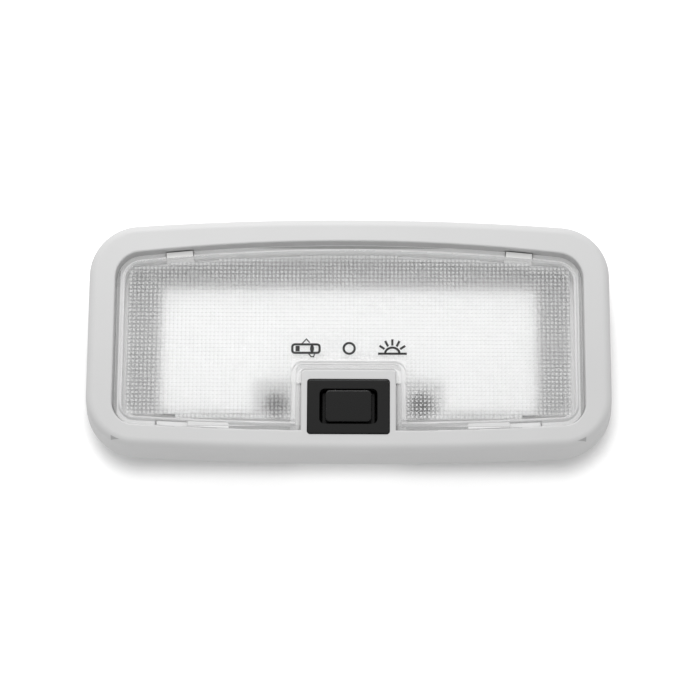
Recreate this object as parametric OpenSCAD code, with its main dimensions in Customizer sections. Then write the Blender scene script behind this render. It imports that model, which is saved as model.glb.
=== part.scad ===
// Interior reading light with a moulded frame, a clear lens, an opal cover, a bulb and a three-way rocker switch.
// Sizes are in millimetres. The housing back lies at Z = 0, Z points out through the lens and Y points up.

/* [Frame outline] */
// Width of the frame at its back edge
frame_w = 140; // [126:1:170]
// Height of the frame at its back edge, measured up the middle
frame_d = 65.2; // [60:0.2:80]
// Radius of the frame's corners at its back edge
frame_corner_r = 14.5; // [12:0.5:18]
// Slope of the arched top edge where it meets the corner, in degrees
frame_top_slope = 4.05; // [1:0.05:8]
// Slope of the bowed bottom edge where it meets the corner, in degrees
frame_low_slope = 2.8; // [1:0.05:6]

/* [Frame section] */
// Depth of the frame from its back edge to its face
frame_depth = 12.6; // [11:0.2:16]
// How far the outer wall leans in before the rounding starts
wall_lean = 1; // [0.5:0.1:2]
// Radius of the rounding between the outer wall and the face
face_round = 2.2; // [1:0.1:3]
// Thickness of the frame's outer wall and face
frame_wall = 2; // [1.5:0.1:2.5]

/* [Frame opening] */
// Width of the frame beside the opening
side_border = 8; // [7:0.1:10]
// Width of the frame above the opening, measured up the middle
top_border = 7.35; // [6.5:0.05:9]
// Width of the frame below the opening, measured up the middle
low_border = 6.62; // [6.5:0.02:9]
// Radius of the opening's upper corners
opening_top_corner_r = 7; // [5:0.5:9]
// Radius of the opening's lower corners
opening_low_corner_r = 6; // [5:0.5:9]
// Slope of the opening's top edge where it meets the corner, in degrees
opening_top_slope = 6.4; // [2:0.05:9]
// Slope of the opening's bottom edge where it meets the corner, in degrees
opening_low_slope = 3.25; // [1:0.05:6]
// Rounding of the opening's edge
opening_round = 0.5; // [0.3:0.1:0.8]
// Thickness of the wall around the lens
well_wall = 1.6; // [1.2:0.1:2]
// Thickness of the floor behind the lens
floor_t = 1.6; // [1.2:0.1:2]
// Height of the floor's back above the frame's back edge
floor_rise = 1.4; // [1:0.1:3]

/* [Switch island] */
// Width of the island beside the switch
island_side = 1.85; // [1.6:0.05:4]
// Width of the island above the switch
island_above = 2.71; // [2:0.01:4]
// How far the island reaches under the frame below the switch
island_below = 1.84; // [1.6:0.02:2.2]
// Radius of the island's upper corners
island_corner_r = 1.3; // [1:0.1:3]
// Rounding of the island's edge
island_round = 0.5; // [0.3:0.1:0.8]
// Distance from the opening's bottom edge up to the centre of the switch
switch_rise = 6.32; // [5:0.02:8]
// Gap between the switch and its hole in the island
switch_gap = 0.2; // [0.1:0.05:0.4]

/* [Lens] */
// Gap between the lens and the wall around it
lens_gap = 0.35; // [0.2:0.05:0.5]
// How far the lens lies below the frame's face
lens_sink = 2; // [1:0.1:3]
// Thickness of the lens plate
lens_t = 1.6; // [1.2:0.1:2.4]
// Width of the flat flange around the lens
flange_w = 1.05; // [0.8:0.05:1.4]
// How far the flange lies below the lens plate
flange_step = 0.8; // [0.5:0.1:1.2]
// Thickness of the flange
flange_t = 1.2; // [0.8:0.1:1.6]
// Width of the sloping step between flange and plate
step_run = 0.4; // [0.2:0.1:0.6]
// Rounding of the plate's edge
plate_round = 0.3; // [0.2:0.05:0.4]
// Distance of the skirt from the lens edge
skirt_in = 1.85; // [1.8:0.05:2.2]
// Gap between the skirt and the ledge that carries the flange
ledge_gap = 0.2; // [0.1:0.05:0.4]
// Thickness of the skirt behind the lens
skirt_t = 1.1; // [0.8:0.1:1.4]
// Depth of the skirt and of the collar around the island, measured from the front of the plate
skirt_depth = 6; // [5:0.1:6.6]
// Thickness left in the lens border beside the island
border_t = 0.8; // [0.6:0.1:1]
// Gap between the lens and the island's sides
cutout_gap = 0.35; // [0.2:0.05:0.6]
// Gap between the lens and the island's top edge
cutout_top_gap = 0.8; // [0.4:0.05:1.2]
// Radius of the upper corners of the lens cut-out
cutout_corner_r = 1.65; // [1.2:0.05:3]
// Width of the lowered border around the cut-out
border_w = 1.05; // [0.8:0.05:1.5]
// Height of the two raised pads on the bottom flange
pad_h = 0.6; // [0.3:0.05:0.8]
// Length of each raised pad
pad_w = 10.7; // [8:0.1:12]
// Distance from a raised pad to the tongue beside it
pad_gap = 0.45; // [0.25:0.05:1]

/* [Lens catches] */
// Distance of the upper hooks from the opening's side
hook_in = 16.7; // [14:0.1:22]
// Width of each hook
hook_w = 7; // [5:0.1:8]
// Thickness of each hook's stem
hook_t = 1.5; // [1.2:0.05:1.6]
// Gap between a hook and the wall outside it
hook_off = 0.42; // [0.3:0.02:0.5]
// How far the hook's nose stands in
hook_nose = 0.9; // [0.6:0.1:1]
// Height of the hook's nose
nose_h = 1.2; // [0.8:0.1:1.6]
// Distance from the frame's face back to the nose
nose_drop = 5.2; // [4.8:0.1:5.6]
// Distance from the frame's face back to the top of the hook
hook_sink = 2.3; // [2:0.1:3]
// How far each hook's stem reaches down into the housing wall
hook_root = 5; // [3:0.5:8]
// Clearance around hooks and tongues
catch_gap = 0.2; // [0.1:0.05:0.3]
// Gap between a hook and the inner edge of its window in the lens
window_gap = 0.05; // [0.05:0.05:0.2]
// Distance of the lower tongues from the opening's side
tongue_in = 15.4; // [14:0.1:18]
// Width of each tongue
tongue_w = 8.1; // [6:0.1:9]
// Thickness of each tongue
tongue_t = 1.4; // [1:0.1:1.8]
// Distance from the frame's face back to the tongue
tongue_drop = 6; // [5.6:0.1:6.4]
// How far a tongue reaches past the opening's edge
tongue_out = 1.2; // [0.8:0.1:1.5]

/* [Opal cover] */
// Distance of the cover's sides from the housing's sides
cover_side_in = 4; // [2:0.5:9]
// Distance of the cover's top edge from the housing's top
cover_top_in = 8.95; // [7:0.05:11]
// Distance of the cover's bottom edge from the housing's bottom
cover_low_in = 2.2; // [1.4:0.1:4]
// Thickness of the cover
cover_t = 1.4; // [1:0.1:2]
// How far the cover stands above the floor
cover_proud = 0.6; // [0.2:0.1:1]
// Distance of the notch's sides from the screws
notch_side = 5.7; // [4.6:0.1:8]
// Distance of the notch's top edge from the screws
notch_above = 6.1; // [4.8:0.1:6.5]
// Radius of the cover's corners
cover_corner_r = 2; // [1:0.1:3]
// Width of the ledge that carries the cover
cover_ledge = 1.2; // [0.8:0.1:2]
// Gap around the cover in its recess
cover_gap = 0.25; // [0.1:0.05:0.4]

/* [Housing] */
// Depth of the housing behind the frame's back edge
housing_depth = 12; // [11.5:0.5:16]
// Distance of the housing's sides from the opening's sides
housing_side_in = 8; // [6:0.5:10]
// Distance of the housing's top from the opening's top edge
housing_top_in = 2.55; // [2.3:0.05:3.2]
// Distance of the housing's bottom from the opening's bottom edge
housing_low_in = 3.68; // [3:0.02:4]
// Wall thickness of the housing
housing_wall = 1.6; // [1.2:0.1:2]
// Radius of the housing's corners
housing_corner_r = 4; // [2:0.5:6]
// Room for the bay beside the switch
bay_side = 2.25; // [1.8:0.05:2.4]
// Thickness of the walls around the switch bay
bay_wall = 1.4; // [1:0.1:1.6]
// Room for the bay above the switch
bay_above = 3.06; // [2.4:0.02:3.5]
// Distance from the switch down to the outside of its bay
bay_below = 1.94; // [1.8:0.02:2.2]
// Width of each rest under the switch
rest_w = 3.9; // [3:0.1:4]
// Length of each rest under the switch
rest_d = 9; // [6:0.5:10]
// Width of each wiring slot in the bay walls
wire_slot_w = 3.8; // [3.6:0.1:4]
// Height of each wiring slot in the bay walls
wire_slot_h = 2.4; // [2.2:0.1:3]
// Distance of the wiring slots from the top of the bay
wire_slot_in = 1; // [0.6:0.1:1.2]

/* [Panel tongues and spring] */
// Distance of the panel tongues from the middle
panel_tongue_y = 16; // [15:0.5:17]
// Width of each panel tongue
panel_tongue_w = 6; // [4:0.5:7]
// How far each panel tongue stands out
panel_tongue_out = 4.5; // [3:0.5:6]
// Thickness of each panel tongue
panel_tongue_t = 1.4; // [1:0.1:2]
// Thickness of the roof panel that the lamp clamps
panel_t = 2; // [1:0.1:3]
// Width of the panel spring
spring_w = 14; // [10:0.5:16]
// Thickness of the panel spring
spring_t = 0.5; // [0.4:0.05:0.6]
// How far the panel spring bulges out
spring_out = 4.5; // [3:0.1:6]
// Height of the bulge above the housing back
spring_bulge_z = 7.7; // [6:0.1:9]
// Height of the spring's fold above the housing back
spring_fold_z = 0.6; // [0.4:0.1:1]
// Height of the spring's free end above the housing back
spring_end_z = 11; // [10:0.1:11.5]
// Height of the spring's fixed leg
spring_leg_z = 9.5; // [8:0.1:10]
// Thickness of the guides that hold the spring
guide_t = 1.2; // [0.8:0.1:1.6]
// Lip that reaches over the spring's leg
guide_lip = 0.6; // [0.4:0.1:0.8]
// Height above the housing back where the guides start
guide_from = 4; // [3:0.5:5]
// Gap between the spring's leg and its guides
guide_gap = 0.1; // [0.05:0.05:0.2]

/* [Screws] */
// Distance of the housing screws from the outside of the bay
screw_out = 5; // [4:0.1:7]
// Distance from the centre of the switch up to the housing screws
screw_above = 2.06; // [1:0.02:3]
// Radius of the screw's head
screw_head_r = 3.1; // [2.6:0.1:3.4]
// Height of the screw's head at its rim
screw_rim_h = 1; // [0.6:0.1:1.4]
// Height of the screw head's dome
screw_dome_h = 0.9; // [0.5:0.1:1.2]
// Radius of the screw's core
screw_r = 1.4; // [1.2:0.05:1.8]
// Length of the screw under its head
screw_len = 11; // [8:0.5:12]
// Radius of the housing's screw posts
post_r = 3.2; // [2.8:0.1:3.3]
// Clearance between the screw and its post
post_gap = 0.05; // [0.02:0.01:0.1]
// Clearance between the screw and the floor
screw_gap = 0.3; // [0.2:0.05:0.5]
// Width of the cross recess in the screw's head
cross_w = 0.9; // [0.6:0.1:1.2]
// Length of the cross recess
cross_len = 3.4; // [2.6:0.1:4]
// Depth of the cross recess
cross_depth = 1.2; // [0.8:0.1:1.5]

/* [Switch frame] */
// Width of the switch frame
switch_w = 21.3; // [20:0.1:22]
// Height of the switch frame
switch_d = 14.4; // [13:0.1:15]
// Corner radius of the switch frame
switch_corner_r = 0.7; // [0.7:0.05:1]
// Rounding of the switch frame's front edge
switch_round = 0.4; // [0.2:0.05:0.45]
// How far the switch frame stands out of the island
switch_proud = 0.4; // [0.2:0.05:1]
// Width of the switch frame beside the rocker
frame_end = 3.05; // [2.8:0.05:3.3]
// Width of the switch frame above and below the rocker
frame_side = 2.5; // [2.3:0.05:2.6]
// Corner radius of the recess
recess_corner_r = 1.4; // [1:0.1:2]
// How far the shoulder stands out around the switch frame
shoulder_out = 0.45; // [0.3:0.05:0.5]
// Height of the shoulder around the switch frame
shoulder_h = 1.6; // [1:0.1:2]
// Gap between the shoulder and the island
shoulder_gap = 0.1; // [0.05:0.05:0.2]
// Room around the shoulder inside the island
island_room = 0.6; // [0.55:0.05:0.7]

/* [Rocker] */
// Gap at each end of the rocker's cap, which its tilting needs
cap_end_gap = 1.55; // [1.4:0.05:2]
// Gap above and below the rocker's cap
cap_side_gap = 0.5; // [0.4:0.05:0.7]
// Depth of the rocker's cap
cap_h = 5.2; // [4:0.1:5.4]
// Corner radius of the rocker's cap
cap_corner_r = 1.2; // [1:0.1:2]
// Rounding of the cap's front edge
cap_round = 0.45; // [0.3:0.05:0.6]
// How far the cap stands out of the frame's face
cap_proud = 1.2; // [0.8:0.1:2]
// Distance from the frame's face back to the pivot
pivot_drop = 5; // [4.6:0.1:5.4]
// Radius of the rocker's pivot pins
pin_r = 1; // [0.8:0.05:1.2]
// Clearance around the pivot pins
pin_gap = 0.05; // [0.03:0.01:0.08]
// Thickness of the switch frame over each pin's end
pin_wall = 0.6; // [0.4:0.1:1]
// End play of the pivot pins
pin_end_gap = 0.2; // [0.1:0.05:0.3]
// Width of the rocker's stem
stem_w = 6.4; // [5:0.1:7]
// Distance from the pivot back to the end of the stem
stem_drop = 4.4; // [4:0.1:4.8]
// Gap between the recess and the round skirt that hides the contacts
skirt_gap = 0.6; // [0.5:0.05:0.8]
// Distance from the pivot forward to the top of the round skirt
skirt_rise = 1.6; // [1.2:0.1:2]
// Distance from the pivot back to the end of the round skirt
skirt_drop = 0.8; // [0.4:0.1:1.2]

/* [Plunger] */
// Radius of the plunger
plunger_r = 1.25; // [1:0.05:1.5]
// Clearance around the plunger in the rocker
plunger_gap = 0.05; // [0.03:0.01:0.08]
// Radius of the plunger's rounded tip
tip_r = 1; // [0.8:0.05:1.2]
// Height of the plunger from its tip
plunger_h = 4.38; // [4:0.01:4.6]
// Height from the plunger's tip to its thicker part
plunger_neck_h = 2.38; // [2:0.01:2.6]
// Gap between the plunger's tip and the contact
tip_gap = 0.02; // [0.01:0.01:0.05]
// Length of the plunger's spring
coil_h = 3.3; // [3:0.1:3.6]
// Outer radius of the spring
coil_r = 1.1; // [0.9:0.05:1.2]
// Thickness of the spring's wire
coil_wire = 0.28; // [0.2:0.02:0.35]
// Number of turns of the spring
coil_turns = 4.5; // [3:0.5:6]
// Share of each turn's pitch that the wire fills, in degrees
coil_fill = 140; // [100:5:180]

/* [Switch contacts] */
// Height of the contact's tilting axis above the housing back
axis_z = 12.7; // [12.5:0.05:12.9]
// Gap at each end of the tilting contact
seesaw_end_gap = 1.4; // [1.2:0.1:2]
// Width of the tilting contact
seesaw_d = 4.3; // [4:0.1:5]
// Thickness of the tilting contact
seesaw_t = 0.5; // [0.4:0.05:0.6]
// Width of the two cheeks that locate the tilting contact
cheek_w = 2; // [1.5:0.1:3]
// Depth of the two cheeks
cheek_h = 0.8; // [0.6:0.1:0.9]
// Thickness of the two cheeks
cheek_t = 0.4; // [0.3:0.05:0.5]
// Radius of the rounded edge that the contact tilts on
fulcrum_r = 0.4; // [0.3:0.05:0.45]
// Gap between the rounded edge and the contact
fulcrum_gap = 0.04; // [0.02:0.01:0.06]
// Width of each terminal
terminal_d = 3.2; // [2.8:0.1:3.4]
// Thickness of each terminal
terminal_t = 0.6; // [0.5:0.05:0.7]
// Width of the head of an outer terminal
head_w = 1.6; // [1.2:0.1:2]
// Thickness of the head of an outer terminal
head_t = 0.5; // [0.4:0.05:0.6]
// Radius of the contact buttons
button_r = 0.7; // [0.5:0.05:0.8]
// Height of the contact buttons
button_h = 0.4; // [0.3:0.05:0.45]
// Distance from the tilting axis back to the buttons
button_drop = 0.7; // [0.68:0.01:0.8]
// Height of the switch base's back above the housing back
base_z = 7.4; // [7:0.1:8]
// Thickness of the switch base
base_t = 1.6; // [1.2:0.1:2]
// Height of the plug on the switch base
plug_h = 2; // [1.6:0.1:2]
// Clearance around the plug and the terminals
plug_gap = 0.1; // [0.05:0.01:0.15]

/* [Strips and blades] */
// Thickness of the strips and blades
strip_t = 0.8; // [0.6:0.1:0.8]
// Gap between crossing strips
strip_gap = 0.4; // [0.3:0.1:0.6]
// Width of the strips
strip_w = 1.2; // [1:0.1:1.3]
// Width of each connector blade
blade_w = 6.3; // [4.8:0.1:6.3]
// How far each connector blade stands out
blade_out = 8; // [6:0.5:9]
// Spacing of the connector blades
blade_pitch = 8; // [7.5:0.5:9]
// Clearance around the blades in the housing wall
blade_gap = 0.1; // [0.05:0.05:0.2]
// Length of the door and feed blades inside the wall
blade_in = 3.9; // [3:0.1:4]
// Length of the earth blade inside the wall
earth_blade_in = 6.9; // [6.5:0.1:7]
// Distance of the earth and lamp strips from the top of the wiring slots
earth_in = 1.1; // [1:0.05:1.2]
// Spacing of the earth strip and the door strip
lane_pitch = 1.8; // [1.7:0.05:2]
// Distance of the feed strip from the housing's top
feed_in = 6.7; // [4:0.1:7]

/* [Bulb and reflector] */
// Gap between the reflector and the switch bay
reflector_gap = 0.6; // [0.4:0.1:1]
// Height of the bulb's axis above the housing back
bulb_z = 7.9; // [7.5:0.1:8.2]
// Radius of the glass
glass_r = 5; // [4:0.1:5.2]
// Wall thickness of the glass
glass_t = 0.5; // [0.4:0.05:0.7]
// Distance from the middle to the centre of each rounded glass end
glass_half = 9; // [8:0.5:10]
// Radius of the glass necks inside the caps
neck_r = 2.8; // [2.4:0.1:3]
// Distance from the middle to the end of each glass neck
neck_end = 15; // [14.5:0.1:15]
// Radius of the metal caps
cap_r = 3.5; // [3.3:0.05:3.6]
// Distance from the middle to the closed inside end of a cap
cap_inside = 15.2; // [15.1:0.1:15.6]
// Distance from the middle to where a cap's nose starts
nose_from = 16.8; // [16:0.1:17]
// Length of a cap's nose
nose_len = 2.6; // [2:0.1:3]
// Radius of a cap's nose at its end
nose_end_r = 0.8; // [0.5:0.1:1]
// Clearance inside the caps
cap_gap = 0.1; // [0.03:0.01:0.1]
// Radius of the coiled filament
filament_r = 0.3; // [0.2:0.05:0.4]
// Length of the coiled filament
filament_len = 14; // [10:0.5:16]
// Radius of the filament's support wires
support_r = 0.12; // [0.1:0.01:0.15]
// Distance from the middle to the bulb holders
holder_x = 18.2; // [18:0.1:18.4]
// Width of each bulb holder
holder_w = 6; // [5:0.5:7]
// Height of each bulb holder above the housing back
holder_top = 11.5; // [11:0.1:12]
// Distance of the reflector's ends from the housing's sides
reflector_end = 10; // [9.5:0.5:20]
// Half the width of the reflector's flat bottom
reflector_base = 6.1; // [5:0.1:7]
// Half the width of the reflector at its rim
reflector_rim = 10.5; // [9:0.1:10.5]
// Height of the reflector's rim above the housing back
reflector_top = 12.6; // [11:0.1:13]
// Thickness of the reflector's sheet
reflector_t = 0.4; // [0.3:0.05:0.6]
// Thickness of the sheet in the sloping sides, measured level
reflector_slant = 0.5; // [0.4:0.05:0.7]
// Width of each slot in the reflector
reflector_slot = 3.2; // [3:0.1:4]

/* [Hidden] */
$fa = 1.2;
$fs = 0.35;

// Overlap that joins solids of one piece
lap = 0.2;
// Reach of a cut past the surface it opens
past = 1;
// Depth to which a wall runs into a rounding, so that the two cross cleanly
seam = 0.003;

// Opening, measured from the middle
opening_w = frame_w - 2 * side_border;
opening_top = frame_d / 2 - top_border;
opening_low = frame_d / 2 - low_border;

// Each half of an outline is its width, the distance to its edge, the slope at the edge's ends and the corner radius
frame_outline = [
  [frame_w, frame_d / 2, frame_top_slope, frame_corner_r],
  [frame_w, frame_d / 2, frame_low_slope, frame_corner_r]
];
opening = [
  [opening_w, opening_top, opening_top_slope, opening_top_corner_r],
  [opening_w, opening_low, opening_low_slope, opening_low_corner_r]
];
lens_outline = inset(opening, lens_gap);
ledge_w = lens_gap + skirt_in - ledge_gap;

// Hooks, tongues and pads, measured from the middle
hook_x = opening_w / 2 - hook_in;
tongue_x = opening_w / 2 - tongue_in;
pad_to = tongue_x - tongue_w / 2 - pad_gap;
pad_from = pad_to - pad_w;

// Switch and the island and bay around it, with distances measured down from the middle
switch_drop = opening_low - switch_rise;
island_w = switch_w + 2 * island_side;
island_top = switch_drop - switch_d / 2 - island_above;
island_low = switch_drop + switch_d / 2 + island_below;
bay_w = switch_w + 2 * bay_side;
bay_top = switch_drop - switch_d / 2 - bay_above;
bay_low = switch_drop + switch_d / 2 + bay_below;
wire_slot_top = bay_top + wire_slot_in;
recess_w = switch_w - 2 * frame_end;
recess_d = switch_d - 2 * frame_side;
cap_w = recess_w - 2 * cap_end_gap;
cap_d = recess_d - 2 * cap_side_gap;
pin_span = switch_d - 2 * pin_wall - 2 * pin_end_gap;
skirt_r = recess_w / 2 - skirt_gap;
seesaw_w = recess_w - 2 * seesaw_end_gap;
terminal_x = seesaw_w / 2 - button_r;

// Housing and what it holds
housing_w = opening_w - 2 * housing_side_in;
housing_top = opening_top - housing_top_in;
housing_low = opening_low - housing_low_in;
screw_x = bay_w / 2 + bay_wall + screw_out;
screw_drop = switch_drop - screw_above;
cover_w = housing_w - 2 * cover_side_in;
cover_top = housing_top - cover_top_in;
cover_low = housing_low - cover_low_in;
notch_w = 2 * (screw_x + notch_side);
notch_top = screw_drop - notch_above;
earth_lane = wire_slot_top + earth_in;
door_lane = earth_lane + lane_pitch;
feed_lane = housing_top - feed_in;
bulb_y = bay_wall - bay_top + reflector_gap + reflector_rim;
reflector_w = housing_w - 2 * reflector_end;
cap_from = glass_half + sqrt(glass_r * glass_r - neck_r * neck_r) + cap_gap;

// Heights above the housing back
rim_z = housing_depth;
face_z = rim_z + frame_depth;
floor_z = rim_z + floor_rise;
floor_top_z = floor_z + floor_t;
lens_z = face_z - lens_sink;
plate_back_z = lens_z - lens_t;
flange_z = lens_z - flange_step;
flange_back_z = flange_z - flange_t;
skirt_z = lens_z - skirt_depth;
tongue_z = face_z - tongue_drop - tongue_t;
nose_z = face_z - nose_drop - nose_h;
switch_back_z = base_z + base_t;
shoulder_z = face_z - frame_wall - shoulder_gap - shoulder_h;
cap_top_z = face_z + cap_proud;
cap_back_z = cap_top_z - cap_h;
pivot_z = face_z - pivot_drop;
stem_z = pivot_z - stem_drop;
seesaw_top_z = axis_z + seesaw_t;
tip_z = seesaw_top_z + tip_gap;
coil_z = tip_z + plunger_h;
button_z = axis_z - button_drop;
head_z = button_z - button_h - head_t;
strip_z = housing_wall;
upper_strip_z = strip_z + strip_t + strip_gap;
tongue_panel_z = rim_z - panel_t - panel_tongue_t;

// Cap cone radius where the holder's inner face meets it
holder_hole_r = cap_r - (cap_r - nose_end_r) * (holder_x - nose_from) / nose_len + cap_gap;

// Node to draw, or all of them

// An outline moved inwards all round by the same distance
function inset(outline, by) = [
  for (half = outline) [half[0] - 2 * by, half[1] - by, half[2], half[3] - by]
];

// Distance between the centres of a corner and of the long arc that it touches
function reach(half) = (half[0] / 2 - half[3]) / sin(half[2]);

// Radius of the long arc
function arc_r(half) = reach(half) + half[3];

// Height of the corner's centre
function corner_y(half) = half[1] - half[3] - reach(half) * (1 - cos(half[2]));

// Moves by whole millimetres and then by the rest, so that long distances keep their precision
module shift(x, y) {
  translate([floor(x), floor(y), 0])
    translate([x - floor(x), y - floor(y), 0])
      children();
}

// Flat shape of one half of an outline
module half_shape(half) {
  width = half[0];
  slope = half[2];
  radius = half[3];
  corner_x = width / 2 - radius;
  difference() {
    intersection() {
      shift(0, half[1] - arc_r(half)) circle(r = arc_r(half));
      translate([-width / 2, 0]) square([width, half[1] + radius]);
    }
    for (side = [-1, 1])
      shift(side * corner_x, corner_y(half))
        polygon([
          [0, 0],
          [side * 2 * radius, 0],
          [side * 2 * radius, 2 * radius],
          [side * 2 * radius * sin(slope), 2 * radius * cos(slope)]
        ]);
  }
  for (side = [-1, 1])
    shift(side * corner_x, corner_y(half)) circle(r = radius);
}

// Flat shape of a whole outline
module shape(outline) {
  half_shape(outline[0]);
  mirror([0, 1, 0]) half_shape(outline[1]);
}

// Carries a section along one half of an outline, with the section's first axis pointing inwards.
// The straight sides run a little past the middle, so that the two halves overlap there.
module half_sweep(half) {
  corner_x = half[0] / 2 - half[3];
  slope = half[2];
  shift(0, half[1] - arc_r(half))
    rotate_extrude(start = 90 - slope, angle = 2 * slope)
      shift(arc_r(half), 0) mirror([1, 0]) children();
  for (side = [0, 1])
    mirror([side, 0, 0]) {
      shift(corner_x, corner_y(half))
        rotate_extrude(start = 0, angle = 90 - slope)
          translate([half[3], 0]) mirror([1, 0]) children();
      shift(half[0] / 2, corner_y(half))
        rotate([90, 0, 0])
          linear_extrude(height = ceil(corner_y(half) + lap))
            mirror([1, 0]) children();
    }
}

// Carries a section all round an outline
module sweep(outline) {
  half_sweep(outline[0]) children();
  mirror([0, 1, 0]) half_sweep(outline[1]) children();
}

// Places a piece at both sides of an outline's top edge, turned with the edge and with Y pointing outwards
module at_edge(half, x) {
  for (side = [-1, 1])
    translate([0, half[1] - arc_r(half), 0])
      rotate([0, 0, -side * asin(x / arc_r(half))])
        translate([0, arc_r(half), 0])
          children();
}

// The same at an outline's bottom edge
module at_low_edge(half, x) {
  mirror([0, 1, 0]) at_edge(half, x) children();
}

// Flat rectangle with round corners
module round_rect(w, d, r) {
  square([w, d - 2 * r], center = true);
  square([w - 2 * r, d], center = true);
  for (x = [-1, 1], y = [-1, 1])
    translate([x * (w / 2 - r), y * (d / 2 - r)]) circle(r = r);
}

// Carries a section round a rectangle with round corners
module rect_sweep(w, d, r) {
  for (turn = [0, 180])
    rotate([0, 0, turn]) {
      translate([w / 2 - r, d / 2 - r, 0])
        rotate_extrude(start = 0, angle = 90) translate([r, 0]) mirror([1, 0]) children();
      translate([r - w / 2, d / 2 - r, 0])
        rotate_extrude(start = 90, angle = 90) translate([r, 0]) mirror([1, 0]) children();
      translate([w / 2, d / 2 - r, 0])
        rotate([90, 0, 0]) linear_extrude(height = d - 2 * r) mirror([1, 0]) children();
      rotate([0, 0, 90])
        translate([d / 2, w / 2 - r, 0])
          rotate([90, 0, 0]) linear_extrude(height = w - 2 * r) mirror([1, 0]) children();
    }
}

// Slab with round corners and a rounded front edge
module soft_slab(w, d, h, r, edge) {
  linear_extrude(height = h - edge) round_rect(w, d, r);
  linear_extrude(height = h) round_rect(w - 2 * edge, d - 2 * edge, r - edge);
  translate([0, 0, h - edge])
    rect_sweep(w, d, r)
      difference() {
        translate([0, -lap]) square([edge + lap, edge + lap]);
        difference() {
          square([edge, edge]);
          translate([edge, 0]) circle(r = edge);
        }
      }
}

// Block centred in X with its top edge at a given Y
module block(w, top_y, low_y, from_z, to_z) {
  translate([-w / 2, low_y, from_z]) cube([w, top_y - low_y, to_z - from_z]);
}

// Section of the frame's outer wall and face
module frame_section() {
  centre = [wall_lean + face_round, frame_depth - face_round];
  touch_r = face_round - seam;
  run = sqrt(centre * centre - touch_r * touch_r);
  rise = atan2(centre[1], centre[0]) + asin(touch_r / norm(centre));
  reach_in = centre[0] + 2 * past;
  difference() {
    union() {
      polygon([
        [0, 0],
        [run * cos(rise), run * sin(rise)],
        centre,
        [centre[0], frame_depth],
        [reach_in, frame_depth],
        [reach_in, 0]
      ]);
      translate(centre) circle(r = face_round);
    }
    polygon([
      [frame_wall, -past],
      [frame_wall, 0],
      [frame_wall + wall_lean, frame_depth - frame_wall],
      [reach_in + lap, frame_depth - frame_wall],
      [reach_in + lap, -past]
    ]);
  }
}

// Section of the wall around the lens and of the floor's edge, before the opening is cut
module well_section() {
  translate([-well_wall, floor_z]) square([well_wall + ledge_w + past, face_z - frame_wall / 2 - floor_z]);
}

// Section that is cut along the opening, with the ledge under the lens flange left standing
module opening_section() {
  polygon([
    [0, face_z + past],
    [0, flange_back_z],
    [ledge_w, flange_back_z],
    [ledge_w, floor_top_z],
    [ledge_w + 2 * past, floor_top_z],
    [ledge_w + 2 * past, face_z + past]
  ]);
}

// Section that rounds the opening's edge
module edge_section() {
  translate([-opening_round, face_z - opening_round])
    difference() {
      square([opening_round + lap, opening_round + lap]);
      circle(r = opening_round);
    }
}

// Flat shape of the opal cover, grown by a given distance
module cover_shape(grow) {
  difference() {
    translate([0, (cover_top - cover_low) / 2])
      round_rect(cover_w + 2 * grow, cover_top + cover_low + 2 * grow, cover_corner_r + grow);
    translate([grow - notch_w / 2, -cover_low - grow - past])
      square([notch_w - 2 * grow, cover_low - notch_top + past]);
  }
}

// Block centred in X that reaches from one Y to another and from one height to another
module catch_box(w, from_y, to_y, from_z, to_z) {
  translate([-w / 2, from_y, from_z]) cube([w, to_y - from_y, to_z - from_z]);
}

module bezel() {
  room_w = switch_w + 2 * island_room;
  room_d = switch_d + 2 * island_room;
  color("Gainsboro")
    difference() {
      union() {
        difference() {
          union() {
            translate([0, 0, rim_z]) sweep(frame_outline) frame_section();
            sweep(opening) well_section();
            translate([0, 0, floor_z]) linear_extrude(height = floor_t) shape(inset(opening, past));
            translate([0, 0, face_z - frame_wall])
              linear_extrude(height = frame_wall)
                shape(inset(frame_outline, wall_lean + face_round + past));
          }
          sweep(opening) opening_section();
          translate([0, 0, flange_back_z + past])
            linear_extrude(height = face_z - flange_back_z) shape(inset(opening, past));
          sweep(opening) edge_section();
        }
        // island around the switch
        translate([0, -(island_top + island_low) / 2, floor_z])
          soft_slab(island_w, island_low - island_top, face_z - floor_z, island_corner_r, island_round);
      }
      // window and recess for the opal cover
      translate([0, 0, floor_z - past]) linear_extrude(height = floor_t + 2 * past) cover_shape(-cover_ledge);
      translate([0, 0, floor_top_z + cover_proud - cover_t])
        linear_extrude(height = cover_t) cover_shape(cover_gap);
      // hole for the switch
      translate([0, -switch_drop, floor_z - past]) {
        linear_extrude(height = face_z - floor_z + 2 * past)
          round_rect(switch_w + 2 * switch_gap, switch_d + 2 * switch_gap, switch_corner_r + switch_gap);
        translate([-room_w / 2, -room_d / 2, 0])
          cube([room_w, room_d, face_z - frame_wall - floor_z + past]);
      }
      // slots for the housing hooks and the lens tongues, with notches in the ledge
      at_edge(opening[0], hook_x) {
        catch_box(hook_w + 2 * catch_gap, -hook_off - hook_t - catch_gap, catch_gap - hook_off,
          floor_z - past, floor_top_z + past);
        catch_box(hook_w + 2 * catch_gap, -ledge_w - lap, lap, floor_top_z - lap, flange_back_z + past);
      }
      at_low_edge(opening[1], tongue_x) {
        catch_box(tongue_w + 2 * catch_gap, 0, well_wall + past,
          tongue_z - catch_gap, tongue_z + tongue_t + catch_gap);
        catch_box(tongue_w + 2 * catch_gap, -ledge_w - lap, lap, tongue_z - catch_gap, flange_back_z + past);
      }
      // screw holes
      for (side = [-1, 1])
        translate([side * screw_x, -screw_drop, floor_z - past])
          cylinder(r = screw_r + screw_gap, h = floor_t + 2 * past);
    }
}

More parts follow.
